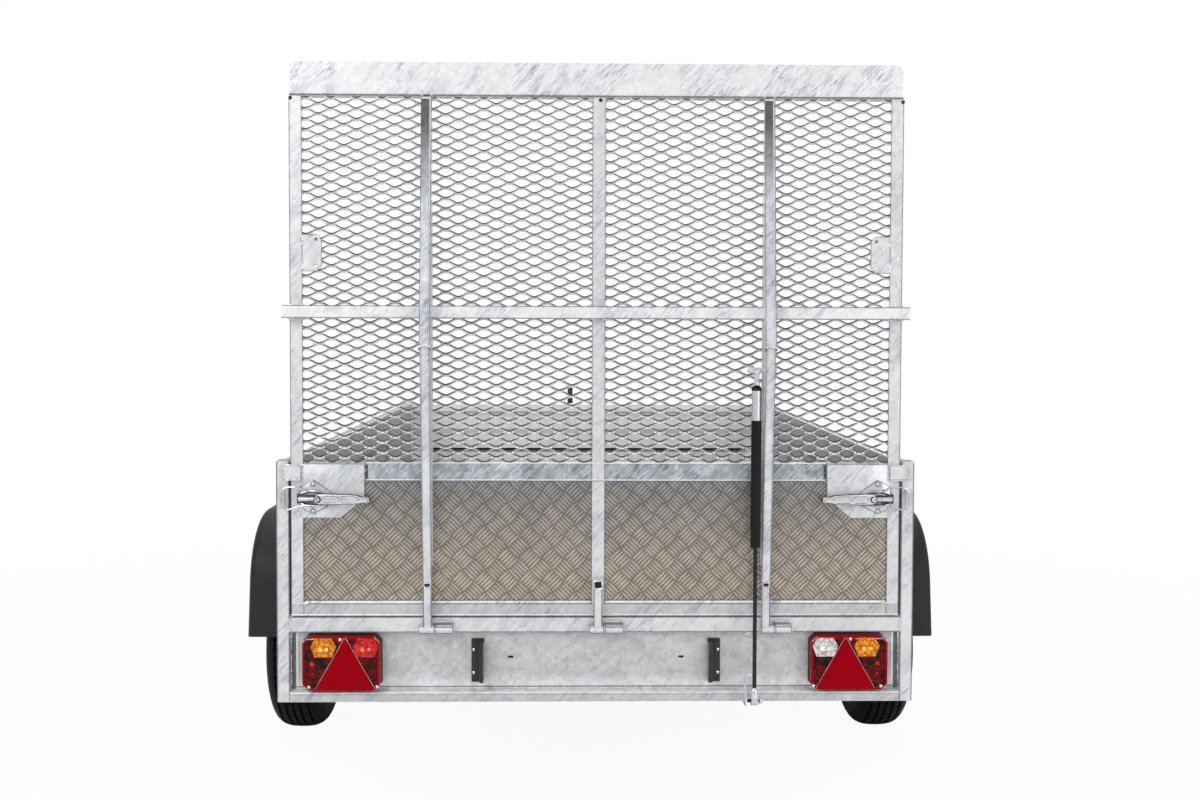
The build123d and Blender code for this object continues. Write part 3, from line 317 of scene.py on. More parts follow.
# base, scuff, scuffs, gloss, grain, scale of the grain, metal, coat, shine
for name, row in {
    "plywood": ((0.1, 0.06, 0.035), (0.2, 0.15, 0.1), 0.4, 0.5, 0.4, 300),
    "rubber": ((0.003, 0.003, 0.0032), grey(0.016), 0.3, 0.55, 0.25, 700, 0, 0, 0.2),
    "guard_skin": ((0.01, 0.011, 0.012), (0.035, 0.035, 0.04), 0.25, 0.42, 0.5, 1100, 0, 0, 0.35),
    "black_plastic": ((0.014, 0.014, 0.016), grey(0.06), 0.1, 0.35, 0.15),
    "strut_paint": ((0.004, 0.004, 0.0045), grey(0.02), 0.1, 0.3, 0.03, 500, 0, 0.05, 0.22),
    "rod_skin": ((0.03, 0.03, 0.033), grey(0.08), 0.1, 0.25, 0.02, 500, 0.8),
    "wheel_paint": ((0.55, 0.56, 0.58), (0.35, 0.36, 0.38), 0.2, 0.3, 0.04, 900, 0.5, 0.2),
    "spring_paint": (grey(0.03), (0.12, 0.1, 0.08), 0.4, 0.5, 0.2),
    # painted shade: near black for holes, tube ends, gaps and joints
    "dark_hole": (grey(0.004), grey(0.01), 0.1, 0.8, 0),
}.items():
    moulded(name, *row)

# base, bright colour of the painted reflection, facets in a metre, roughness, shine
for name, row in {
    "red_rim": ((0.22, 0.001, 0.003), (0.42, 0.004, 0.008), 260, 0.1, 0.06),
    "red_dark": ((0.012, 0.0004, 0.0006), (0.14, 0.002, 0.003), 75, 0.07, 0.1),
    # red tail lens, also used for painted highlights on the reflector ring
    "red_glow": ((0.34, 0.002, 0.004), (0.8, 0.02, 0.015), 130),
    "red_triangle": ((0.27, 0, 0.004), (0.36, 0.001, 0.008), 330, 0.2, 0.02),
    "amber_lens": ((0.5, 0.1, 0.004), (0.93, 0.4, 0.02), 130, 0.07, 0.15),
    "clear_lens": ((0.4, 0.34, 0.34), (0.92, 0.88, 0.87), 150),
    # painted highlights: bright hot spots over the bulbs
    "amber_hot": ((0.95, 0.52, 0.06), (1, 0.86, 0.36), 60),
    "red_hot": ((0.85, 0.1, 0.04), (1, 0.34, 0.18), 60),
    "clear_hot": ((0.95, 0.93, 0.92), (1, 1, 1), 60),
}.items():
    lens(name, *row)

NODE_LOOKS = {  # what the names of the nodes start with; all others are frame_zinc
    "rubber": "tyre jockey_wheel", "guard_skin": "mudguard", "wheel_paint": "rim",
    "black_plastic": "plate_lamp",
    "plywood": "floor_deck", "rail_zinc": "ramp_bottom_rail", "tread_field": "ramp_panel",
    "plated": "latch coupling strut_bracket jockey_crank jockey_tube jockey_stem jockey_fork",
    "strut_paint": "strut_cylinder", "rod_skin": "strut_rod", "spring_paint": "leaf_spring",
    "lip_zinc": "ramp_lip ramp_crossbar", "lamp_panel_zinc": "light_panel", "sheet_zinc": "side_panel",
    "front_zinc": "front_panel", "angle_zinc": "ramp_cross_angle", "rib_zinc": "ramp_rib",
    "under_zinc": "crossmembers main_rail middle_beam front_beam axle_beam",
}
for name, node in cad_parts.items():
    look = next((key for key, starts in NODE_LOOKS.items() if name.startswith(tuple(starts.split()))),
                "frame_zinc")
    node.data.materials.clear()
    node.data.materials.append(LOOK[look])


# ---- mesh tools
def mesh_of(name, bm):
    data = bpy.data.meshes.new(name)
    bm.to_mesh(data)
    bm.free()
    return data


def join(into, other, slot=None, matrix=None):
    """Adds a bmesh to another, moved by matrix, on one material slot or on its own slots."""
    if matrix is not None:
        ops.transform(other, matrix=matrix, verts=other.verts)
    if slot is not None:
        for face in other.faces:
            face.material_index = slot
    data = mesh_of("join", other)
    into.from_mesh(data)
    bpy.data.meshes.remove(data)


def linked(name, data):
    made = bpy.data.objects.new(name, data)
    bpy.context.scene.collection.objects.link(made)
    return made


def new_verts(result):
    return [v for v in result["geom"] if isinstance(v, bmesh.types.BMVert)]


def outward(bm):
    ops.recalc_face_normals(bm, faces=bm.faces)
    return bm


def rounded(bm, edge, segments):
    if edge:
        ops.bevel(bm, geom=bm.edges[:], offset=edge, offset_type="OFFSET", affect="EDGES", segments=segments,
                  profile=0.5, material=-1)
    return bm


def slab(low, high, edge=0, segments=2):
    """Block between two corners in metres, with rounded edges."""
    bm = bmesh.new()
    ops.create_cube(bm, size=1)
    ops.scale(bm, vec=[abs(b - a) for a, b in zip(low, high)], verts=bm.verts)
    ops.translate(bm, vec=[(a + b) / 2 for a, b in zip(low, high)], verts=bm.verts)
    return rounded(bm, edge, segments)


def plate(points, depth, axis, edge=0, segments=2):
    """Flat outline in metres (a loop of 3-D points), pushed along axis, front and back edges rounded."""
    bm = bmesh.new()
    face = bm.faces.new([bm.verts.new(p) for p in points])
    pushed = ops.extrude_face_region(bm, geom=[face])
    ops.translate(bm, vec=Vector(axis).normalized() * depth, verts=new_verts(pushed))
    return rounded(outward(bm), edge, segments)


def turned(outline, centre, axis, steps=32):
    """Outline of (distance along the axis, radius) in millimetres, turned about the axis."""
    axis = Vector(axis).normalized()
    side = axis.orthogonal().normalized()
    bm = bmesh.new()
    verts = [bm.verts.new(Vector(centre) + axis * (a * MM) + side * (r * MM)) for a, r in outline]
    edges = [bm.edges.new(pair) for pair in zip(verts, verts[1:])]
    ops.spin(bm, geom=verts + edges, cent=centre, axis=axis, angle=2 * pi, steps=steps, use_merge=True)
    ops.remove_doubles(bm, verts=bm.verts, dist=1e-6)
    return outward(bm)


def wire(path, radius, sides=8):
    """Round bar that follows the points of path."""
    bm = bmesh.new()
    path = [Vector(p) for p in path]
    ring = ops.create_circle(bm, cap_ends=True, radius=radius, segments=sides)["verts"]
    heads = [path[1] - path[0]] + [b - a for a, b in zip(path, path[2:])] + [path[-1] - path[-2]]
    turn = Vector(UP).rotation_difference(heads[0].normalized()).to_matrix()
    ops.transform(bm, matrix=Matrix.Translation(path[0]) @ turn.to_4x4(), verts=ring)
    for i in range(1, len(path)):
        face = next(f for f in bm.faces if len(f.verts) == sides and all(v in set(ring) for v in f.verts))
        ring = new_verts(ops.extrude_face_region(bm, geom=[face]))
        twist = heads[i - 1].normalized().rotation_difference(heads[i].normalized()).to_matrix()
        for v in ring:
            v.co = path[i] + twist @ (v.co - path[i - 1])
        if face.is_valid and len(path) > 2:
            ops.delete(bm, geom=[face], context="FACES_ONLY")
    return outward(bm)


def weld(start, end, radius, seed):
    """Weld bead: a thin bar with rippled, slightly lumpy sides."""
    draw = random.Random(seed)
    ripples = max(4, int((end - start).length / (3.5 * MM)))
    bm = wire([start.lerp(end, i / ripples) for i in range(ripples + 1)], radius, 7)
    for v in bm.verts:
        share = (v.co - start).dot(end - start) / (end - start).length_squared
        centre = start.lerp(end, share)
        v.co = centre + (v.co - centre) * draw.uniform(0.7, 1.25)
    return bm


def cone(sides, foot, top, depth):
    bm = bmesh.new()
    ops.create_cone(bm, cap_ends=True, segments=sides, radius1=foot, radius2=top, depth=depth)
    return bm


def hex_head(centre, axis, across, height):
    """Hexagon bolt head with a washer below."""
    washer = 1.5 * MM
    bm = cone(6, across * 0.577, across * 0.577, height)
    ops.translate(bm, vec=(0, 0, height / 2 + washer), verts=bm.verts)
    rounded(bm, height * 0.12, 2)
    join(bm, cone(24, across * 0.9, across * 0.85, washer), 0, Matrix.Translation((0, 0, washer / 2)))
    turn = Vector(UP).rotation_difference(Vector(axis).normalized()).to_matrix().to_4x4()
    ops.transform(bm, matrix=Matrix.Translation(centre) @ turn, verts=bm.verts)
    return bm


class Shape:
    """A mesh in the making, all of its sizes in millimetres. A place is counted from the origin, with x times
    the sign; a place given as a Vector is used as it is, in metres."""

    def __init__(self, origin=(0, 0, 0), sign=1):
        self.bm = bmesh.new()
        self.origin, self.sign = origin, sign

    def place(self, p):
        x, y, z = self.origin
        return p if isinstance(p, Vector) else at(x + self.sign * p[0], y + p[1], z + p[2])

    def add(self, other, slot=0, matrix=None):
        join(self.bm, other, slot, matrix)

    def slab(self, low, high, edge, slot=0, segments=2):
        self.add(slab(self.place(low), self.place(high), edge * MM, segments), slot)

    def plate(self, points, depth, edge, slot=0, segments=2, axis=OUT):
        self.add(plate([self.place(p) for p in points], depth * MM, axis, edge * MM, segments), slot)

    def wire(self, path, radius, slot=0, sides=6):
        self.add(wire([self.place(p) for p in path], radius * MM, sides), slot)

    def turned(self, outline, centre, slot=0, steps=20, axis=OUT):
        self.add(turned(outline, self.place(centre), axis, steps), slot)

    def screw(self, centre, radius, height, slot=0, axis=OUT):
        """Domed screw or rivet head."""
        dome = [(0, radius), (height * 0.45, radius * 0.94), (height * 0.85, radius * 0.6), (height, 0)]
        self.turned(dome, centre, slot, 14, axis)

    def bolt(self, centre, axis, across, height, slot=0):
        self.add(hex_head(self.place(centre), axis, across * MM, height * MM), slot)

    def weld(self, start, end, radius, seed):
        self.add(weld(self.place(start), self.place(end), radius * MM, seed), 0)

    def corner_lines(self, x0, x1, z0, z1, lying, slot, radius=0.9, y=0):
        """Lines along the tight outer corners of a bar, on its two long sides; the calls draw them in painted
        shade.
        """
        ends = [(x, y - 0.3, z) for z in (z0, z1) for x in (x0, x1)]
        for line in (ends[:2], ends[2:]) if lying else (ends[::2], ends[1::2]):
            self.wire(line, radius, slot)

    def hinge_edge(self, x):
        """The rim of a hinge barrel, on slot 3, the painted shade of the fittings."""
        self.turned([(-0.9, 10), (-0.9, 10.5), (0.9, 10.5), (0.9, 10)], (x, -13, 588), 3, 20, ACROSS)


def piece(name, bm, looks, body, smooth=40, stands_for=()):
    """Makes the object, shades it, and hangs it on its body."""
    bm.normal_update()
    data = mesh_of(name, bm)
    for look in looks.split():
        data.materials.append(LOOK[look])
    if smooth:
        data.shade_smooth()
        data.set_sharp_from_angle(angle=radians(smooth))
    made = linked(name, data)
    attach(made, body)
    if stands_for:
        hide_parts(*stands_for)


# ---- expanded metal and tread plate
def repeat(bm, total, step):
    """Copies everything in a row, doubling while it can."""
    done = 1
    unit = bm.copy()
    while done < total:
        doubles = done * 2 <= total
        join(bm, (bm if doubles else unit).copy(), None, Matrix.Translation(Vector(step) * done))
        done += done if doubles else 1
    unit.free()


def tiled(cell, low, high, pitch_x, pitch_z, start):
    """Repeats a cell across and up from start, and cuts the sheet to the sides of a box."""
    repeat(cell, int((high.x - low.x) / pitch_x) + 2, (pitch_x, 0, 0))
    repeat(cell, int((high.z - low.z) / pitch_z) + 2, (0, 0, pitch_z))
    ops.translate(cell, vec=start, verts=cell.verts)
    for place, side in ((low, (-1, 0, 0)), (high, (1, 0, 0)), (low, (0, 0, -1)), (high, (0, 0, 1))):
        ops.bisect_plane(cell, geom=[*cell.verts, *cell.edges, *cell.faces], plane_co=place, plane_no=side,
                         clear_outer=True)
    return cell


def oval(width, height, sides):
    """A flat oval that faces up."""
    bm = bmesh.new()
    ops.create_circle(bm, cap_ends=True, radius=1, segments=sides)
    ops.scale(bm, vec=(width * MM, height * MM, 1), verts=bm.verts)
    bm.normal_update()
    for face in bm.faces:
        if face.normal.z < 0:
            face.normal_flip()
    return bm


def face_rear(bm):
    """Turns a part that faces up to the rear."""
    ops.rotate(bm, cent=(0, 0, 0), matrix=Matrix.Rotation(radians(90), 3, "X"), verts=bm.verts)
    return bm


def expanded_metal():
    """Rows of diamonds of twisted strands in painted light: painted shade on the faces turned up, painted
    light on the faces turned down, brightest at the knots, with painted glints.
    """
    low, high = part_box("ramp_mesh")
    pitch_x, pitch_z = 62.4 * MM, 25.6 * MM
    half_x, half_z = pitch_x / 2, pitch_z / 2
    profile = [Vector((0, y * MM, z * MM)) for y, z in ((0.4, 3.3), (-2.2, -0.2), (0, -4), (2.2, -0.6))]
    # shares of half a pitch across and up, and the size of the strand there
    stations = [(0, 0, 1.1), (0.17, 0.09, 1.05), (0.5, 0.46, 0.9), (0.83, 0.87, 0.95), (1, 1, 1.1)]
    light, dark, mid, pale = range(4)
    bm = bmesh.new()
    for rise in (1, -1):
        ring = ops.create_circle(bm, cap_ends=False, radius=1, segments=4)["verts"]
        for across, up, size in stations:
            if across:
                edges = [e for e in bm.edges if all(v in ring for v in e.verts)]
                ring = new_verts(ops.extrude_edge_only(bm, edges=edges))
            for v, rest in zip(ring, profile):
                v.co = rest * size + Vector((across * half_x, 0, rise * up * half_z))
    # painted light and shade: faces turned up take the shaded copies, faces turned down the lit copies, lit
    # most near the knots
    for face in outward(bm).faces:
        face.normal_update()
        centre = face.calc_center_median()
        along = centre.x / half_x if centre.z > 0 else 1 - centre.x / half_x
        if face.normal.z > 0.1:
            face.material_index = dark if along < 0.7 else mid
        else:
            face.material_index = light if along < 0.1 or along > 0.9 else pale
    for x in (10.5, 51.9):  # painted glints beside the knots
        join(bm, face_rear(oval(3.6, 2.2, 6)), light, Matrix.Translation((x * MM, -2.7 * MM, -0.4 * MM)))
    join(bm, bm.copy(), None, Matrix.Translation((half_x, 0, half_z)))
    columns = int((high.x - low.x) / pitch_x) + 2
    start = ((low.x + high.x) / 2 - columns * pitch_x / 2, (low.y + high.y) / 2, low.z - half_z)
    return tiled(bm, low, high, pitch_x, pitch_z, start)


def tread_bars():
    """Groups of five raised bars, each turned against the next, over the lower panel; the two turns take warm
    and cool copies as painted reflection, the flanks lit and shaded copies as painted light.
    """
    low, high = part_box("ramp_panel")
    step = 56 * MM
    slash, shade, lit, backslash = range(4)
    bar = oval(19.2, 3, 10)
    ops.inset_region(bar, faces=bar.faces[:], thickness=2.1 * MM, depth=1.7 * MM)
    face_rear(bar)
    cell = bmesh.new()
    # bars leaning one way take the warm copy, the other way the cool copy, as painted reflection
    for turn, offset, slot in ((45, 0, slash), (-45, step / 2, backslash)):
        spin = Matrix.Translation((offset, 0, offset)) @ Matrix.Rotation(radians(-turn), 4, "Y")
        for i in range(-2, 3):
            join(cell, bar.copy(), slot, spin @ Matrix.Translation((0, 0, i * 8.25 * MM)))
    bar.free()
    cell.normal_update()
    for face in cell.faces:
        if face.normal.y > -0.95:
            face.material_index = shade if face.normal.z < 0 else lit
    return tiled(cell, low, high, step, step, (low.x - step / 2, low.y, low.z - step / 2))


piece("expanded_metal", expanded_metal(), "strand_light strand_dark strand_mid strand_pale", "ramp",
      0, ["ramp_mesh"])
piece("tread_bars", tread_bars(), "tread tread_shade tread_lit tread_cool", "ramp", 60)


# ---- lamps
def cut_corners(half_w, half_h, corner, y, x=0):
    """Eight places round a rectangle with cut corners."""
    a, b = half_w - corner, half_h - corner
    pairs = [(half_w, b), (a, half_h), (-a, half_h), (-half_w, b)]
    return flat(pairs + [(-a, -b) for a, b in pairs], y, x)


def tail_lamp(side, sign):
    x, _, z = origin("tail_lamp_" + side)
    s = Shape((x, 0, z))
    front = -18  # face of the lenses
    tray, rim, field, amber, glow, clear, reflector, metal = range(8)
    to_painted_hotspot = 5  # from a lens to its painted hot spot over the bulb
    s.plate(cut_corners(98, 69.5, 16, 20), 7, 1.5, tray)
    s.plate(cut_corners(96, 67.5, 15, 13), 31, 4, rim, 3)
    for x in (-47, 47):
        s.plate(cut_corners(43, 60, 10, front + 0.4, x), 1.2, 0.4, field, 1)
    for hand, slot in ((-1, amber if sign < 0 else clear), (1, glow if sign < 0 else amber)):
        x, z = hand * 49.5 - sign * (7 if hand == sign else 12), 40
        hexagon = ((32, 4), (20, 24), (-20, 24), (-32, 4), (-22, -23), (22, -23))
        s.plate(flat(hexagon, front, x, z), 4, 1.6, slot)
        s.turned([(0, 17), (1.5, 15), (0.6, 6), (2.4, 5), (3.2, 0)], (x, front - 3.6, z), slot)
        # painted highlights: bright domes over the bulbs
        for along, size in ((-7, 1), (8, 0.75)):
            s.screw((x + along, front - 3.4, z - 3), 6.5 * size, 3.4, slot + to_painted_hotspot)
    for x, z, reach in ((70 * sign, -24, 23), (-72 * sign, -24, 15)):
        for r in (reach, reach * 0.35):
            s.turned([(0, r + 1.4), (0.9, r + 0.7), (0.9, r - 0.7), (0, r - 1.4)], (x, front, z), rim, 28)
        if reach > 20:
            # painted highlights at the top and centre of the larger reflector ring
            s.slab((x - 6, front - 1.5, z + 19), (x + 5, front, z + 28), 0.6, glow, 1)
            s.slab((x - 3, front - 1.5, z - 3), (x + 2, front, z + 2), 0.5, glow, 1)
    tip, foot, wide, x = 68.5, -63, 75.5, -11.5 * sign
    s.plate([(x + wide, front, foot), (x - wide, front, foot), (x, front, tip)], 5, 1.2, reflector)
    # painted highlights: pale lines along the triangle's sides
    for hand in (-1, 1):
        s.wire(flat(((hand * 1.5, tip - 3), (hand * (wide - 2), foot + 2)), front - 4.6, x), 0.45, clear)
    for x, z in ((1.5 * sign, 60), (79 * sign, -58), (-89 * sign, -58)):
        s.screw((x, front + 1, z), 4.5, 3, metal)
    # painted highlights along the lamp's top edge and upper corners
    for start, end in ((-84, -66),) if sign < 0 else ((14, 36), (42, 84)):
        s.wire([(start, front + 0.6, 61), (end, front + 0.6, 61.5)], 1.3, clear)
    for hand in (-1, 1):
        s.wire([(hand * 82, front + 2, 66), (hand * 94.5, front + 2, 53)], 0.9, clear)
    piece("lamp_" + side, s.bm, "black_plastic red_rim red_dark amber_lens red_glow clear_lens red_triangle "
          "chrome amber_hot red_hot clear_hot", "chassis", 35, ["tail_lamp_" + side])


def plate_lamp(side, sign):
    x, _, z = origin("plate_lamp_" + side)
    s = Shape((x, 0, z))
    tray, metal, window = range(3)
    s.slab((-16, 16, -55), (16, 20, 55), 1.2, tray)
    body = [(4, 16), (4, -8), (8, -15), (14, -16), (16, -14), (16, 16)]
    if sign > 0:
        body = [(-a, b) for a, b in body[:1] + body[:0:-1]]
    s.plate([(a, b, -50) for a, b in body], 100, 1.5, tray, axis=UP)
    s.slab((-12, 8, -48), (10, 17, 48), 2, tray)
    for z in (-29, 29):
        s.screw((sign * 9, 8, z), 4.2, 3, metal)
    edge = -sign * 15.2
    for i in range(13):
        z = -45 + i * 7.5
        s.slab((edge - 1, -13, z - 2), (edge + 1.4, 10, z + 2), 0.6, window, 1)
    piece("plate_light_" + side, s.bm, "black_plastic chrome clear_lens", "chassis", 35,
          ["plate_lamp_" + side])


for side, sign in SIDES:
    tail_lamp(side, sign)
    plate_lamp(side, sign)


# ---- latches
def latch(side, sign):
    """Corner plate, diamond base, over-centre lever with its pockets and yoke, and the wire bail, with lines
    of painted shade and painted highlight along their edges. Places are counted inwards from the stile's
    inner face and up from the lever's axis."""
    stile, drop = 726, 84
    s = Shape((sign * stile, 0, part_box("latch_" + side)[1].z / MM - drop), -sign)
    zinced, steel, dark, bright = range(4)

    corner = [(-4, drop), (151, drop), (151, 4), (124, -22), (92, -48), (-4, -48)]
    s.plate(flat(corner, 0), 3, 0.7, zinced)
    # painted shadow: a dark strip beside the corner plate
    s.slab((153, -1.5, 48), (160, 0, drop), 0.3, dark)
    base = [(-6, 10), (-6, 27), (10, 37), (25, 46), (40, 36), (60, 22), (69, 14), (69, -12), (50, -24),
            (25, -38), (5, -28), (-6, -14)]
    s.plate(flat(base, -3), 2.2, 0.7, steel)
    s.wire(flat(base + base[:1], -4.6), 0.9, dark)
    for lift in (1, -1):
        s.wire([(-4, -6, lift * 13), (20, -9, lift * 20), (44, -10, lift * 17), (66, -6, lift * 12)], 2.6,
               steel, 8)
        s.wire([(-4, -7, lift * 9.5), (20, -10, lift * 15.5), (44, -11, lift * 13), (66, -7, lift * 9)], 1.3,
               dark)
    for z in (36, -31):
        s.turned([(0, 6.6), (0.5, 6.6), (0.6, 5.2), (2.2, 4.4), (3.6, 2.4), (4, 0)], (25, -5, z), steel, 18)
        s.turned([(0, 7.6), (0.5, 7.6), (0.5, 6.4)], (25, -5, z), dark, 18)
    barrel = [(-20, 0), (-20, 5), (-19, 6.4), (-10, 6.4), (-9.4, 5.4), (-8, 5.4), (-7.4, 6.4), (18, 6.4),
              (19, 5), (19, 0)]
    s.turned(barrel, (10, -16, 0), steel, axis=(sign, 0, 0))
    for z in (-7.6, 7.6):
        s.wire([(-10, -11, z), (30, -11, z)], 1.4, dark)
    s.slab((-14, -8, -12), (-9, -3, 12), 0.6, dark)
    eye = [(-2, 8.6), (0, 9.6), (2, 8.6), (2, 5.4), (0, 4.4), (-2, 5.4), (-2, 8.6)]
    s.turned(eye, (40, -24, 0), steel)
    s.turned([(0, 5), (0.8, 5), (0.8, 0)], (40, -23, 0), dark, 16)
    lever = [(36, 10), (42, 13), (60, 13), (118, 10.5), (138, 9), (146, 5.5), (164, 5), (166, 0), (164, -8),
             (146, -8.5), (138, -11), (118, -12.5), (60, -13), (42, -13), (36, -10)]
    s.plate(flat(lever, -14), 12, 2.6, steel, 3)
    s.wire(flat(lever + lever[:1], -14.5), 1.3, dark)
    for near, far, top, bottom in ((54, 91, 54, 54), (96, 135, 101, 95)):
        pocket = [(top, 4), (near + 3, 7.5), (far - 4, 6.5), (far, 3), (far, -5), (far - 4, -8.5),
                  (near + 3, -8.5), (bottom, -5), (top, 4)]
        # painted shade round each pocket, painted highlight inside it
        s.wire(flat(pocket, -26), 1, dark)
        s.wire([(a * 0.96 + (near + far) * 0.02, -26.6, b - 1.2) for a, b in pocket], 0.7, bright)
    rim = [(38, 9.5), (44, 12), (60, 12), (118, 9.6), (137, 8)]
    s.wire(flat(rim, -25.6), 0.9, bright)
    s.wire([(a, -25, -b - 1.5) for a, b in rim], 0.9, dark)
    s.wire([(140, -24, 8), (141, -26, 0), (140, -24, -10)], 0.9, dark)
    s.wire([(152, -20, -7), (160, -26, -7), (165, -28, -5), (165, -28, 4), (160, -26, 5), (152, -20, 5)], 2,
           steel, 8)
    bail = [(30, 18), (8, 21), (-12, 29), (-34, 30), (-47, 24), (-51, 14), (-51, -14), (-47, -22), (-34, -27),
            (-12, -19), (8, -16), (34, -17)]
    s.wire(flat(bail, -17), 1.9, steel, 8)
    s.wire(flat(bail, -15.5, z=-1.4), 1, dark)
    piece("latch_set_" + side, s.bm, "frame_zinc latch_steel latch_dark edge_bright", "ramp",
          35, ["latch_" + side])


for side, sign in SIDES:
    latch(side, sign)


# ---- gas strut
def strut():
    """Cylinder with its bright collar, the bolt of the upper eye and the rod's end fitting."""
    eye = 10  # from the end of a node to the pin
    x, y, _ = origin("strut_cylinder")
    low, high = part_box("strut_cylinder")
    s = Shape((x, y, high.z / MM - eye))
    head = high.z / MM - eye - 36
    length = head - low.z / MM
    tube = [(0, 0), (0, 6), (3, 10), (9, 12.6), (12, 12.6), (13, 11.6), (86, 11.6), (87, 12.6),
            (length - 3, 12.6), (length, 11), (length, 6)]
    body = turned(tube, at(x, y, head), (0, 0, -1))
    for face in body.faces:
        place = face.calc_center_median()
        down = (head * MM - place.z) / MM
        face.material_index = 1 if 13 < down < 86 and place.x < (x + 7.5) * MM else 0
    s.add(body, None)
    s.turned([(-9, 0), (-9, 7), (-7, 9), (7, 9), (9, 7), (9, 0)], (0, 0, 0), 2, 28, ACROSS)
    s.turned([(0, 7), (22, 6), (24, 8.5), (30, 8.5), (31, 5)], (0, 0, -4), 2, 24, (0, 0, -1))
    piece("strut_body", s.bm, "strut_paint bare_steel plated", "strut_cylinder", 35,
          ["strut_cylinder"])
    s = Shape(s.origin)
    s.bolt((-15, 0, 0), (-1, 0, 0), 11, 6)
    s.bolt((42, 0, 0), ACROSS, 11, 6)
    s.wire([(10, 0, 0), (42, 0, 0)], 4, sides=12)
    piece("strut_top_bolt", s.bm, "plated", "ramp")
    s = Shape((x, y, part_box("strut_rod")[0].z / MM + eye))
    s.turned([(0, 0), (0, 6), (3, 9), (22, 9), (28, 6), (29, 4.8)], (0, 0, 4), 0, 24, UP)
    s.bolt((13, 0, 0), ACROSS, 10, 5)
    s.turned([(-8.2, 8), (-8.2, 11), (8.2, 11), (8.2, 8)], (0, 0, 0), 0, 24, ACROSS)
    piece("strut_foot", s.bm, "plated", "strut_rod")


strut()


# ---- wheels
def tyre(side):
    """Grooved crown with siped ribs, rounded shoulders and a stepped side wall with raised rings."""
    centre = middle("tyre_" + side)
    wall = [(57, 168), (60, 178), (66, 190), (76, 200), (80, 214), (83, 228), (83.4, 240), (80, 252),
            (81, 256), (77, 266), (70, 277), (60, 286), (52, 290.5)]
    crown = [(49, 291.6), (48, 285), (44, 285), (43, 294), (26, 297), (25, 289), (20, 289), (19, 297.5),
             (3, 298)]
    crown += [(2.5, 290), (-2.5, 290)] + [(-a, b) for a, b in reversed(crown)]
    s = Shape()
    s.turned(wall + crown + [(-a, b) for a, b in reversed(wall)], centre, 0, 120, ACROSS)
    blocks = []
    for face in s.bm.faces:
        place = face.calc_center_median() - centre
        across = abs(place.x) / MM
        turn = int(round((atan2(place.z, place.y) / (2 * pi)) * 240 + (0 if across > 30 else 1)))
        on_rib = 28 < across < 44 or 5 < across < 18 or across > 49
        if hypot(place.y, place.z) > 288.5 * MM and on_rib and (turn // 2) % 2 == 0:
            blocks.append(face)
    ops.inset_individual(s.bm, faces=blocks, thickness=1.6 * MM, depth=-1.6 * MM)
    for hand in (-1, 1):
        for radius, out in ((219, 83.358), (236, 82.94121)):
            ring = [(-1.2, radius - 1.6), (1.2, radius - 0.8), (1.2, radius + 0.8), (-1.2, radius + 1.6)]
            s.turned(ring, centre + Vector((hand * out * MM, 0, 0)), 0, 90, (hand, 0, 0))
    piece("tread_" + side, s.bm, "rubber", "wheel_" + side, 32, ["tyre_" + side])


def wheel_hardware(side, sign):
    """Five nuts, the hub cap and the valve."""
    s = Shape(origin("rim_" + side), sign)
    out = (sign, 0, 0)
    for i in range(5):
        turn = radians(90 + i * 72)
        s.bolt((14, 56 * cos(turn), 56 * sin(turn)), out, 19, 14)
    s.turned([(0, 30), (3, 31), (5, 27), (20, 26), (27, 20), (29, 0)], (26, 0, 0), 0, 40, out)
    s.wire([(40, 0, 136), (70, 0, 130)], 3.5, sides=10)
    piece("wheel_nuts_" + side, s.bm, "plated", "wheel_" + side)


for side, sign in SIDES:
    tyre(side)
    wheel_hardware(side, sign)


# ---- welds, bolts, caps and small fittings
RIBS = (-418, 421)
MIDDLE_BAR = (-12, 20)
HOLE = [(0, 4.6), (0.9, 4.6), (0.9, 0)]
RAMP_HINGES = ((-440, -399.5), (-18.5, 20), (409, 444))
SILL_HINGES = ((-397, -356), (23, 66), (446, 485))


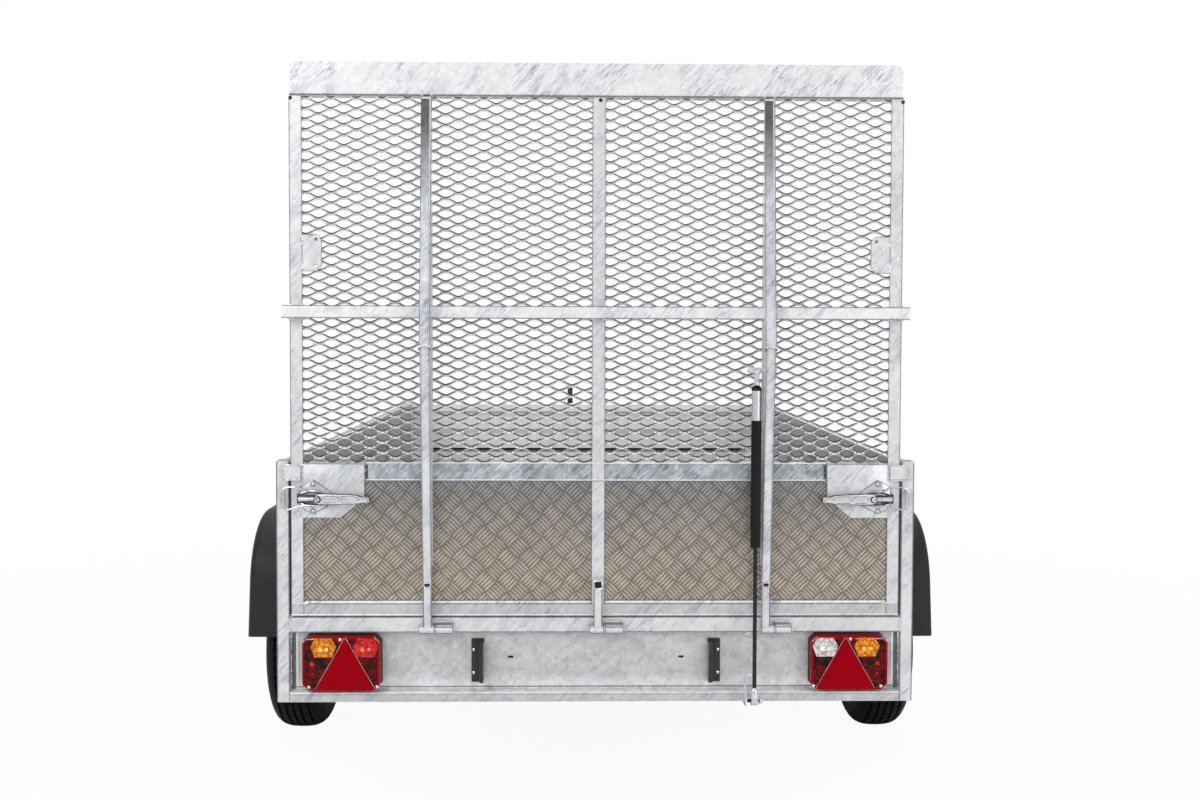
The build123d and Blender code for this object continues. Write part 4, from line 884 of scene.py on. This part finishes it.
def ramp_fittings():
    """Beads where the bars meet, tube ends, drain holes, the ledge over the bottom rail, and edge lines:
    black painted shade in the holes and tube ends, edge lines of painted shade and painted highlight, and a
    plate of painted shade on each rib's upper face.
    """
    s = Shape()
    plain, hole, ledge, dark, rib, bright = range(6)
    seeds = count(12)
    for x in RIBS:
        end = turned([(-2, 8.4), (0, 10.4), (2.6, 9.6), (3, 7.6), (1, 6.4), (-2, 6.4)], Vector(), OUT, 20)
        ops.scale(end, vec=(1, 1, 0.66), verts=end.verts)
        s.add(end, plain, Matrix.Translation(at(x, -21, 701)))
        # painted shade: the black opening of the tube end
        s.slab((x - 6, -21.6, 697.5), (x + 6, -20.6, 703.5), 0.4, hole)
        s.weld((x - 10, -20, 711), (x + 10, -20, 711), 2.2, x + 900)
    s.slab((-5, -21.2, 692), (13, -20.2, 708), 0.4, hole)
    s.wire([(-6, -21, 691), (-6, -21, 710), (14, -21, 710), (14, -21, 691), (-6, -21, 691)], 2.2, plain, 8)
    s.weld((-6, -19, 712), (14, -19, 712), 2.6, 5)
    for x in RIBS:
        for a, b in (((-13, -76, 1291), (13, -76, 1291)), ((-13, -76, 1284), (-13, -58, 1284)),
                     ((13, -76, 1284), (13, -58, 1284)), ((-12, -2, 1896), (-12, -16, 1903)),
                     ((12, -2, 1896), (12, -16, 1903)), ((-13, -1.5, 1890), (13, -1.5, 1890))):
            s.weld((x + a[0], *a[1:]), (x + b[0], *b[1:]), 2.6, next(seeds))
    for x in (-754, -728, 728, 754, *MIDDLE_BAR):
        for z in (1358, 1390):
            s.weld((x - 7, -1, z), (x + 7, -1, z), 2.4, next(seeds))
    for s.sign in (-1, 1):
        for a, b in (((728, -1, 650), (712, -1, 652)), ((728, -1, 999), (728, -1, 961)),
                     ((728, -7, 994), (770, -9, 996)), ((730, -8, 960), (768, -9, 959)),
                     ((771, -9, 994), (772, -9, 963)), ((726, 0, 1475), (726, 0, 1500)),
                     ((726, 0, 1540), (726, 0, 1563))):
            s.weld(a, b, 2.5, next(seeds))
    for x, z in ((-753, 1897), (7, 1896), (754, 1896)):
        s.turned(HOLE, (x, 0, z), hole, 16)
    for s.sign in (-1, 1):
        for z in (1486, 1552):
            s.turned([(0, 4.6), (1, 5.2), (1, 3.4), (0.1, 3)], (692, 0, z), plain, 16)
    for x0, x1 in ((-724, -13), (21, 724)):
        s.slab((x0, -1.5, 650.5), (x1, 2.5, 657), 1.2, ledge)
        # painted shade: a dark line above the ledge
        s.slab((x0, -0.4, 657), (x1, 2.5, 659), 0.2, dark, 1)
    for x0, x1 in RAMP_HINGES:
        s.hinge_edge(x0 + 2)
        s.hinge_edge(x1 - 2)
    # painted shade along the corners of the stiles, middle bar and crossbar
    for x0, x1, z0, z1 in ((-756, -726, 622, 1901), (726, 756, 622, 1901), (*MIDDLE_BAR, 652, 1900)):
        s.corner_lines(x0, x1, z0, z1, False, dark)
    low, high = (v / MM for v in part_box("ramp_crossbar"))
    s.corner_lines(low.x, high.x, low.z, high.z, True, dark, y=low.y - REAR / MM)
    for x in RIBS:
        for half, y0, z0, y1, z1 in ((12.5, -75.6, 1287, -20.6, 1897), (11, -21.6, 704, -75.6, 1287),
                                     (10, -20.4, 595, -20.4, 699)):
            for edge in (x - half, x + half):
                s.wire([(edge, y0, z0), (edge, y1, z1)], 0.9, dark)
        # a plate of painted shade over the rib's upper face, darker towards the top
        face = [(x - 11.5, -75.8, 1292), (x + 7, -75.8, 1292), (x + 7, -21.6, 1893), (x - 11.5, -21.6, 1893)]
        s.plate(face, 0.6, 0, rib, axis=(0, -1, -0.09))
    for x in (-6, 14):
        s.wire([(x, -20.4, 595), (x, -20.4, 690)], 0.9, dark)
    # painted highlights and painted shade lines across the ramp
    for reach, y, z, r, slot in ((570, -1, 1001, 1.3, bright), (570, -1, 959, 1.5, bright),
                                 (570, -0.4, 956.4, 0.9, dark), (755, -1.4, 1905, 2.2, dark),
                                 (726, -0.6, 649.5, 0.9, dark), (755, -0.4, 622.5, 1.2, bright)):
        s.wire([(-reach, y, z), (reach, y, z)], r, slot)
    tab = [(730, 961), (730, 995), (772, 995), (772, 961), (730, 961)]
    ear = [(726, 1474), (690, 1474), (680, 1482), (678, 1492), (678, 1546), (680, 1556), (690, 1564),
           (726, 1564)]
    # painted shade round the stop tabs and the small plates
    for s.sign in (-1, 1):
        s.wire(flat(tab, -9.2), 0.9, dark)
        s.wire(flat(ear, -0.6), 0.8, dark)
    # painted highlight on top of each hinge barrel, painted shade below it
    for x0, x1 in RAMP_HINGES:
        s.wire([(x0 + 2, -22.6, 590), (x1 - 3, -22.6, 590)], 1.1, bright)
        s.wire([(x0 + 2, -19, 579.6), (x1 - 3, -19, 579.6)], 1.2, dark)
    piece("ramp_fittings", s.bm, "plated dark_hole lip_zinc edge_dark rib_dark edge_bright", "ramp",
          45)


def body_fittings():
    """Beads at the corners, hinge and sill edges, panel screws and the joint line of the front panel, with
    black strips of painted shade in the gaps and along the joint line, and dark and bright lines and bands of
    painted shade and painted highlight.
    """
    s = Shape()
    plain, cap, gap, dark, bright, fold = range(6)
    seeds = count(72)
    for s.sign in (-1, 1):
        for a, b in (((761, -1, 580), (761, -1, 614)), ((761, 2, 428), (761, 2, 404)),
                     ((761, 19, 560), (761, 19, 575)), ((762, 20, 440), (762, 20, 570))):
            s.weld(a, b, 2.6, next(seeds))
        s.slab((763, 1, 1004.5), (791, 39, 1007), 1.1, cap)
        # painted shade: a black strip in the gap between post and stile, and a small black patch each side at
        # 0.5 m
        s.slab((756.6, 10, 620), (761.4, 14, 1000), 0.3, gap)
        s.slab((200, 24, 500), (228, 26, 522), 0.3, gap)
        s.corner_lines(762, 792, 404, 1004, False, dark)
        # painted shade and painted highlight: a dark band beside a bright band
        s.slab((750, 19, 432), (760, 20.6, 574), 0.3, dark)
        s.slab((744, 18.6, 432), (749.5, 20.6, 574), 0.3, bright)
        for x, z in ((560, 457), (640, 463), (720, 469)):
            s.screw((x, 20, z), 3.4, 2, plain)
    s.sign = 1
    for x0, x1 in SILL_HINGES:
        # painted shade under the sill hinges, painted highlight and shade lines on the barrels
        s.slab((x0, -9, 597), (x1, 0, 604), 1.4, dark)
        s.weld((x0, -7, 606), (x1, -7, 606), 2.4, 79 + x1)
        for y, z, r, slot in ((-22.6, 590, 1.1, bright), (-19, 579.6, 1.2, dark), (-20.6, 595.4, 0.9, dark)):
            s.wire([(x0, y, z), (x1, y, z)], r, slot)
        s.hinge_edge(x0 + 0.5)
        s.hinge_edge(x1 + 0.5)
    # painted shade in the gap between ramp and sill, and along the sill's corners
    s.slab((-752, 8, 616.3), (752, 12, 618.7), 0.3, gap)
    s.corner_lines(-760, 760, 578.5, 615.5, True, dark, 0.7)
    s.slab((-761, -0.8, 404), (761, 0.6, 424.6), 0.5, fold)
    low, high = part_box("light_panel")
    # painted highlight and painted shade lines along the lamp panel's fold
    for y, z, r, slot in ((-0.5, 425.8, 1.1, bright), (-0.1, 421.5, 0.9, dark), (18.5, 436.5, 1.2, dark)):
        s.wire([Vector((x, low.y + y * MM, z * MM)) for x in (low.x, high.x)], r, slot)
    for side, _ in SIDES:
        low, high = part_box("side_panel_" + side)
        # painted highlights along the top edges of the side panels
        for x in (low.x + MM, high.x - MM):
            z = high.z + 0.2 * MM
            s.wire([Vector((x, low.y + 45 * MM, z)), Vector((x, high.y - 10 * MM, z))], 1.2, bright)
    for x, z in ((384, 463), (382, 570), (376, 430)):
        s.bolt((x, 20, z), OUT, 9, 3.5, plain)
    low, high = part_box("front_panel")
    # the joint line of the front panel as a strip of painted shade
    s.slab(Vector((low.x + 0.07, low.y - 1.5 * MM, 0.799)), Vector((high.x - 0.07, low.y + 9 * MM, 0.809)),
           0.5, gap, 1)
    piece("body_fittings", s.bm, "plated sheet_zinc dark_hole edge_dark edge_bright rail_zinc", "chassis",
          45)


def drawbar_fittings():
    """Grips, bolts and caps at the front end and on the springs."""
    s = Shape()
    grip, metal = range(2)
    low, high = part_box("jockey_crank")
    handle = [(0, 8), (2, 12.5), (14, 13.5), (60, 12), (84, 13.5), (90, 11), (92, 0)]
    s.turned(handle, Vector((high.x - 12 * MM, (low.y + high.y) / 2, high.z - 88 * MM)), grip, 24, UP)
    low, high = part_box("coupling_lever")
    s.turned([(-19, 0), (-19, 9), (-15, 11.5), (15, 11.5), (19, 9), (19, 0)],
             Vector((0, low.y + 9 * MM, high.z - 9 * MM)), grip, 24, ACROSS)
    low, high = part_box("drawbar_plate")
    for sign in (-1, 1):
        for share in (0.18, 0.42):
            y = low.y + (high.y - low.y) * share
            s.bolt(Vector((sign * 0.085, y, high.z)), UP, 17, 9, metal)
            s.bolt(Vector((sign * 0.03, y + 0.03, high.z + 0.042)), UP, 17, 8, metal)
    for side, _ in SIDES:
        x = middle("leaf_spring_" + side).x
        for y in (-38, 38):
            for a in (-37, 37):
                s.bolt(Vector((x + a * MM, AXLE_Y + y * MM, 0.374)), UP, 13, 8, metal)
        for y in (-390, 390):
            for a in (-1, 1):
                s.bolt(Vector((x + a * 36 * MM, AXLE_Y + y * MM, 0.428)), (a, 0, 0), 17, 8, metal)
    piece("drawbar_fittings", s.bm, "black_plastic plated", "chassis", 40)


def mudguard_edges(side, sign):
    """The arch's rolled edge and a moulded line beside it, from one foot over the wheel to the other."""
    low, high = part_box("mudguard_" + side)
    outer = high.x - 2 * MM if sign > 0 else low.x + 2 * MM
    corner, half_flat, leg, skirt = 230 * MM, 140 * MM, 167 * MM, 92 * MM
    bend, steps = 82, 12
    s = Shape()
    for radius, bead, out in ((corner - skirt + MM, 3.4, 0), (corner - 60 * MM, 1.6, 1.2)):
        path = []
        for hand in (-1, 1):
            arc = []
            for step in range(steps + 1):
                turn = radians(90 + bend * step / steps)
                y, z = AXLE_Y + hand * (half_flat - radius * cos(turn)), high.z - corner + radius * sin(turn)
                arc.append(Vector((outer + sign * out * MM, y, z)))
            arc.append(arc[-1] + Vector((0, hand * leg * sin(turn), leg * cos(turn))))
            path += arc[::-1] if hand < 0 else arc
        s.wire(path, bead, sides=8)
    piece("guard_edges_" + side, s.bm, "guard_skin", "chassis", 50)


def deck_screws():
    """Flat heads that hold the deck to the crossmembers, and the joint between its boards as a strip of
    painted shade.
    """
    low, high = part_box("floor_deck")
    rows, columns = 7, 6
    s = Shape()
    for row in range(rows):
        y = low.y + 0.04 + (high.y - low.y - 0.08) * row / (rows - 1)
        for column in range(columns):
            x = low.x + 0.06 + (high.x - low.x - 0.12) * column / (columns - 1)
            s.screw(Vector((x, y, high.z - 0.3 * MM)), 5.5, 1.4, 0, UP)
    y = (low.y + high.y) / 2
    s.slab(Vector((low.x + 2 * MM, y - 1.2 * MM, high.z - 0.4 * MM)),
           Vector((high.x - 2 * MM, y + 1.2 * MM, high.z + 0.35 * MM)), 0.1, 1, 1)
    piece("deck_screws", s.bm, "plated dark_hole", "chassis", 40)


for side, sign in SIDES:
    mudguard_edges(side, sign)
deck_screws()
ramp_fittings()
body_fittings()
drawbar_fittings()


# ---- floor, light and camera
def area(name, centre, aim, width, height, power):
    light = bpy.data.lights.new(name, "AREA")
    light.shape = "RECTANGLE"
    light.size, light.size_y, light.energy = width, height, power
    made = linked(name, light)
    made.location = centre
    made.rotation_mode = "QUATERNION"
    made.rotation_quaternion = (Vector(aim) - Vector(centre)).to_track_quat("-Z", "Y")


def studio():
    """A pale floor that the camera sees as near white, a white world and four soft lights."""
    bm = bmesh.new()
    ops.create_grid(bm, x_segments=1, y_segments=1, size=40)
    data = mesh_of("floor", bm)
    floor = linked("floor", data)
    pale = Shader("floor_white", grey(0.86), 0.7)
    glow = pale.node("Emission", {"Strength": 1})
    seen = pale.node("LightPath").outputs["Is Camera Ray"]
    place = pale.node("TexCoord").outputs["Object"]
    wide = pale.node("Mapping", {"Scale": grey(0.22), "Vector": place}).outputs["Vector"]
    spot = pale.node("TexGradient", {"Vector": wide}, gradient_type="SPHERICAL").outputs["Fac"]
    share = pale.times(seen, pale.span(spot, 0, 1, 1, 0.93))
    bsdf = pale.tree.nodes["Principled BSDF"]
    mix = pale.node("MixShader", {0: share, 1: bsdf.outputs[0], 2: glow.outputs[0]})
    pale.plug(pale.tree.nodes["Material Output"].inputs["Surface"], mix.outputs[0])
    data.materials.append(pale.mat)
    world = bpy.data.worlds.new("studio")
    bpy.context.scene.world = world
    world.use_nodes = True
    sky = Tree(world.node_tree)
    soft, white = (sky.node("Background", {"Color": (1, 1, 1, 1), "Strength": power}) for power in (0.55, 1))
    seen = sky.node("LightPath").outputs["Is Camera Ray"]
    mix = sky.node("MixShader", {0: seen, 1: soft.outputs[0], 2: white.outputs[0]})
    sky.plug(sky.tree.nodes["World Output"].inputs["Surface"], mix.outputs[0])
    area("key", (-2.8, -5.2, 3.4), (0, -1.2, 1), 2.6, 2.2, 92)
    area("fill", (3.4, -5, 2), (0, -1.2, 0.8), 2, 2.4, 52)
    area("top", (0, 0, 5), (0, 0, 0), 4, 4, 95)
    area("back", (0.5, 5, 3.2), (0, 0, 0.8), 3, 2, 40)


def camera():
    """Behind the trailer, a little to the left of its middle and above the side rails."""
    sensor, picture = 36, 1200  # widths in millimetres and in pixels
    data = bpy.data.cameras.new("camera")
    data.sensor_width = sensor
    data.lens = 1287.5 / picture * sensor
    data.shift_y = -26.8 / picture
    data.clip_end = 100
    made = linked("camera", data)
    yaw, tilt, roll = radians(1.143), radians(2.111), radians(0.19)
    ahead = Vector((sin(yaw) * cos(tilt), cos(yaw) * cos(tilt), -sin(tilt)))
    right = Vector((cos(yaw), -sin(yaw), 0))
    level = right * cos(roll) + right.cross(ahead) * sin(roll)
    made.rotation_mode = "QUATERNION"
    made.rotation_quaternion = Matrix((level, level.cross(ahead), -ahead)).transposed().to_quaternion()
    made.location = at(-56.1, -3186.5, 1341.9)
    bpy.context.scene.camera = made


studio()
camera()
bpy.context.scene.view_settings.view_transform = "Standard"
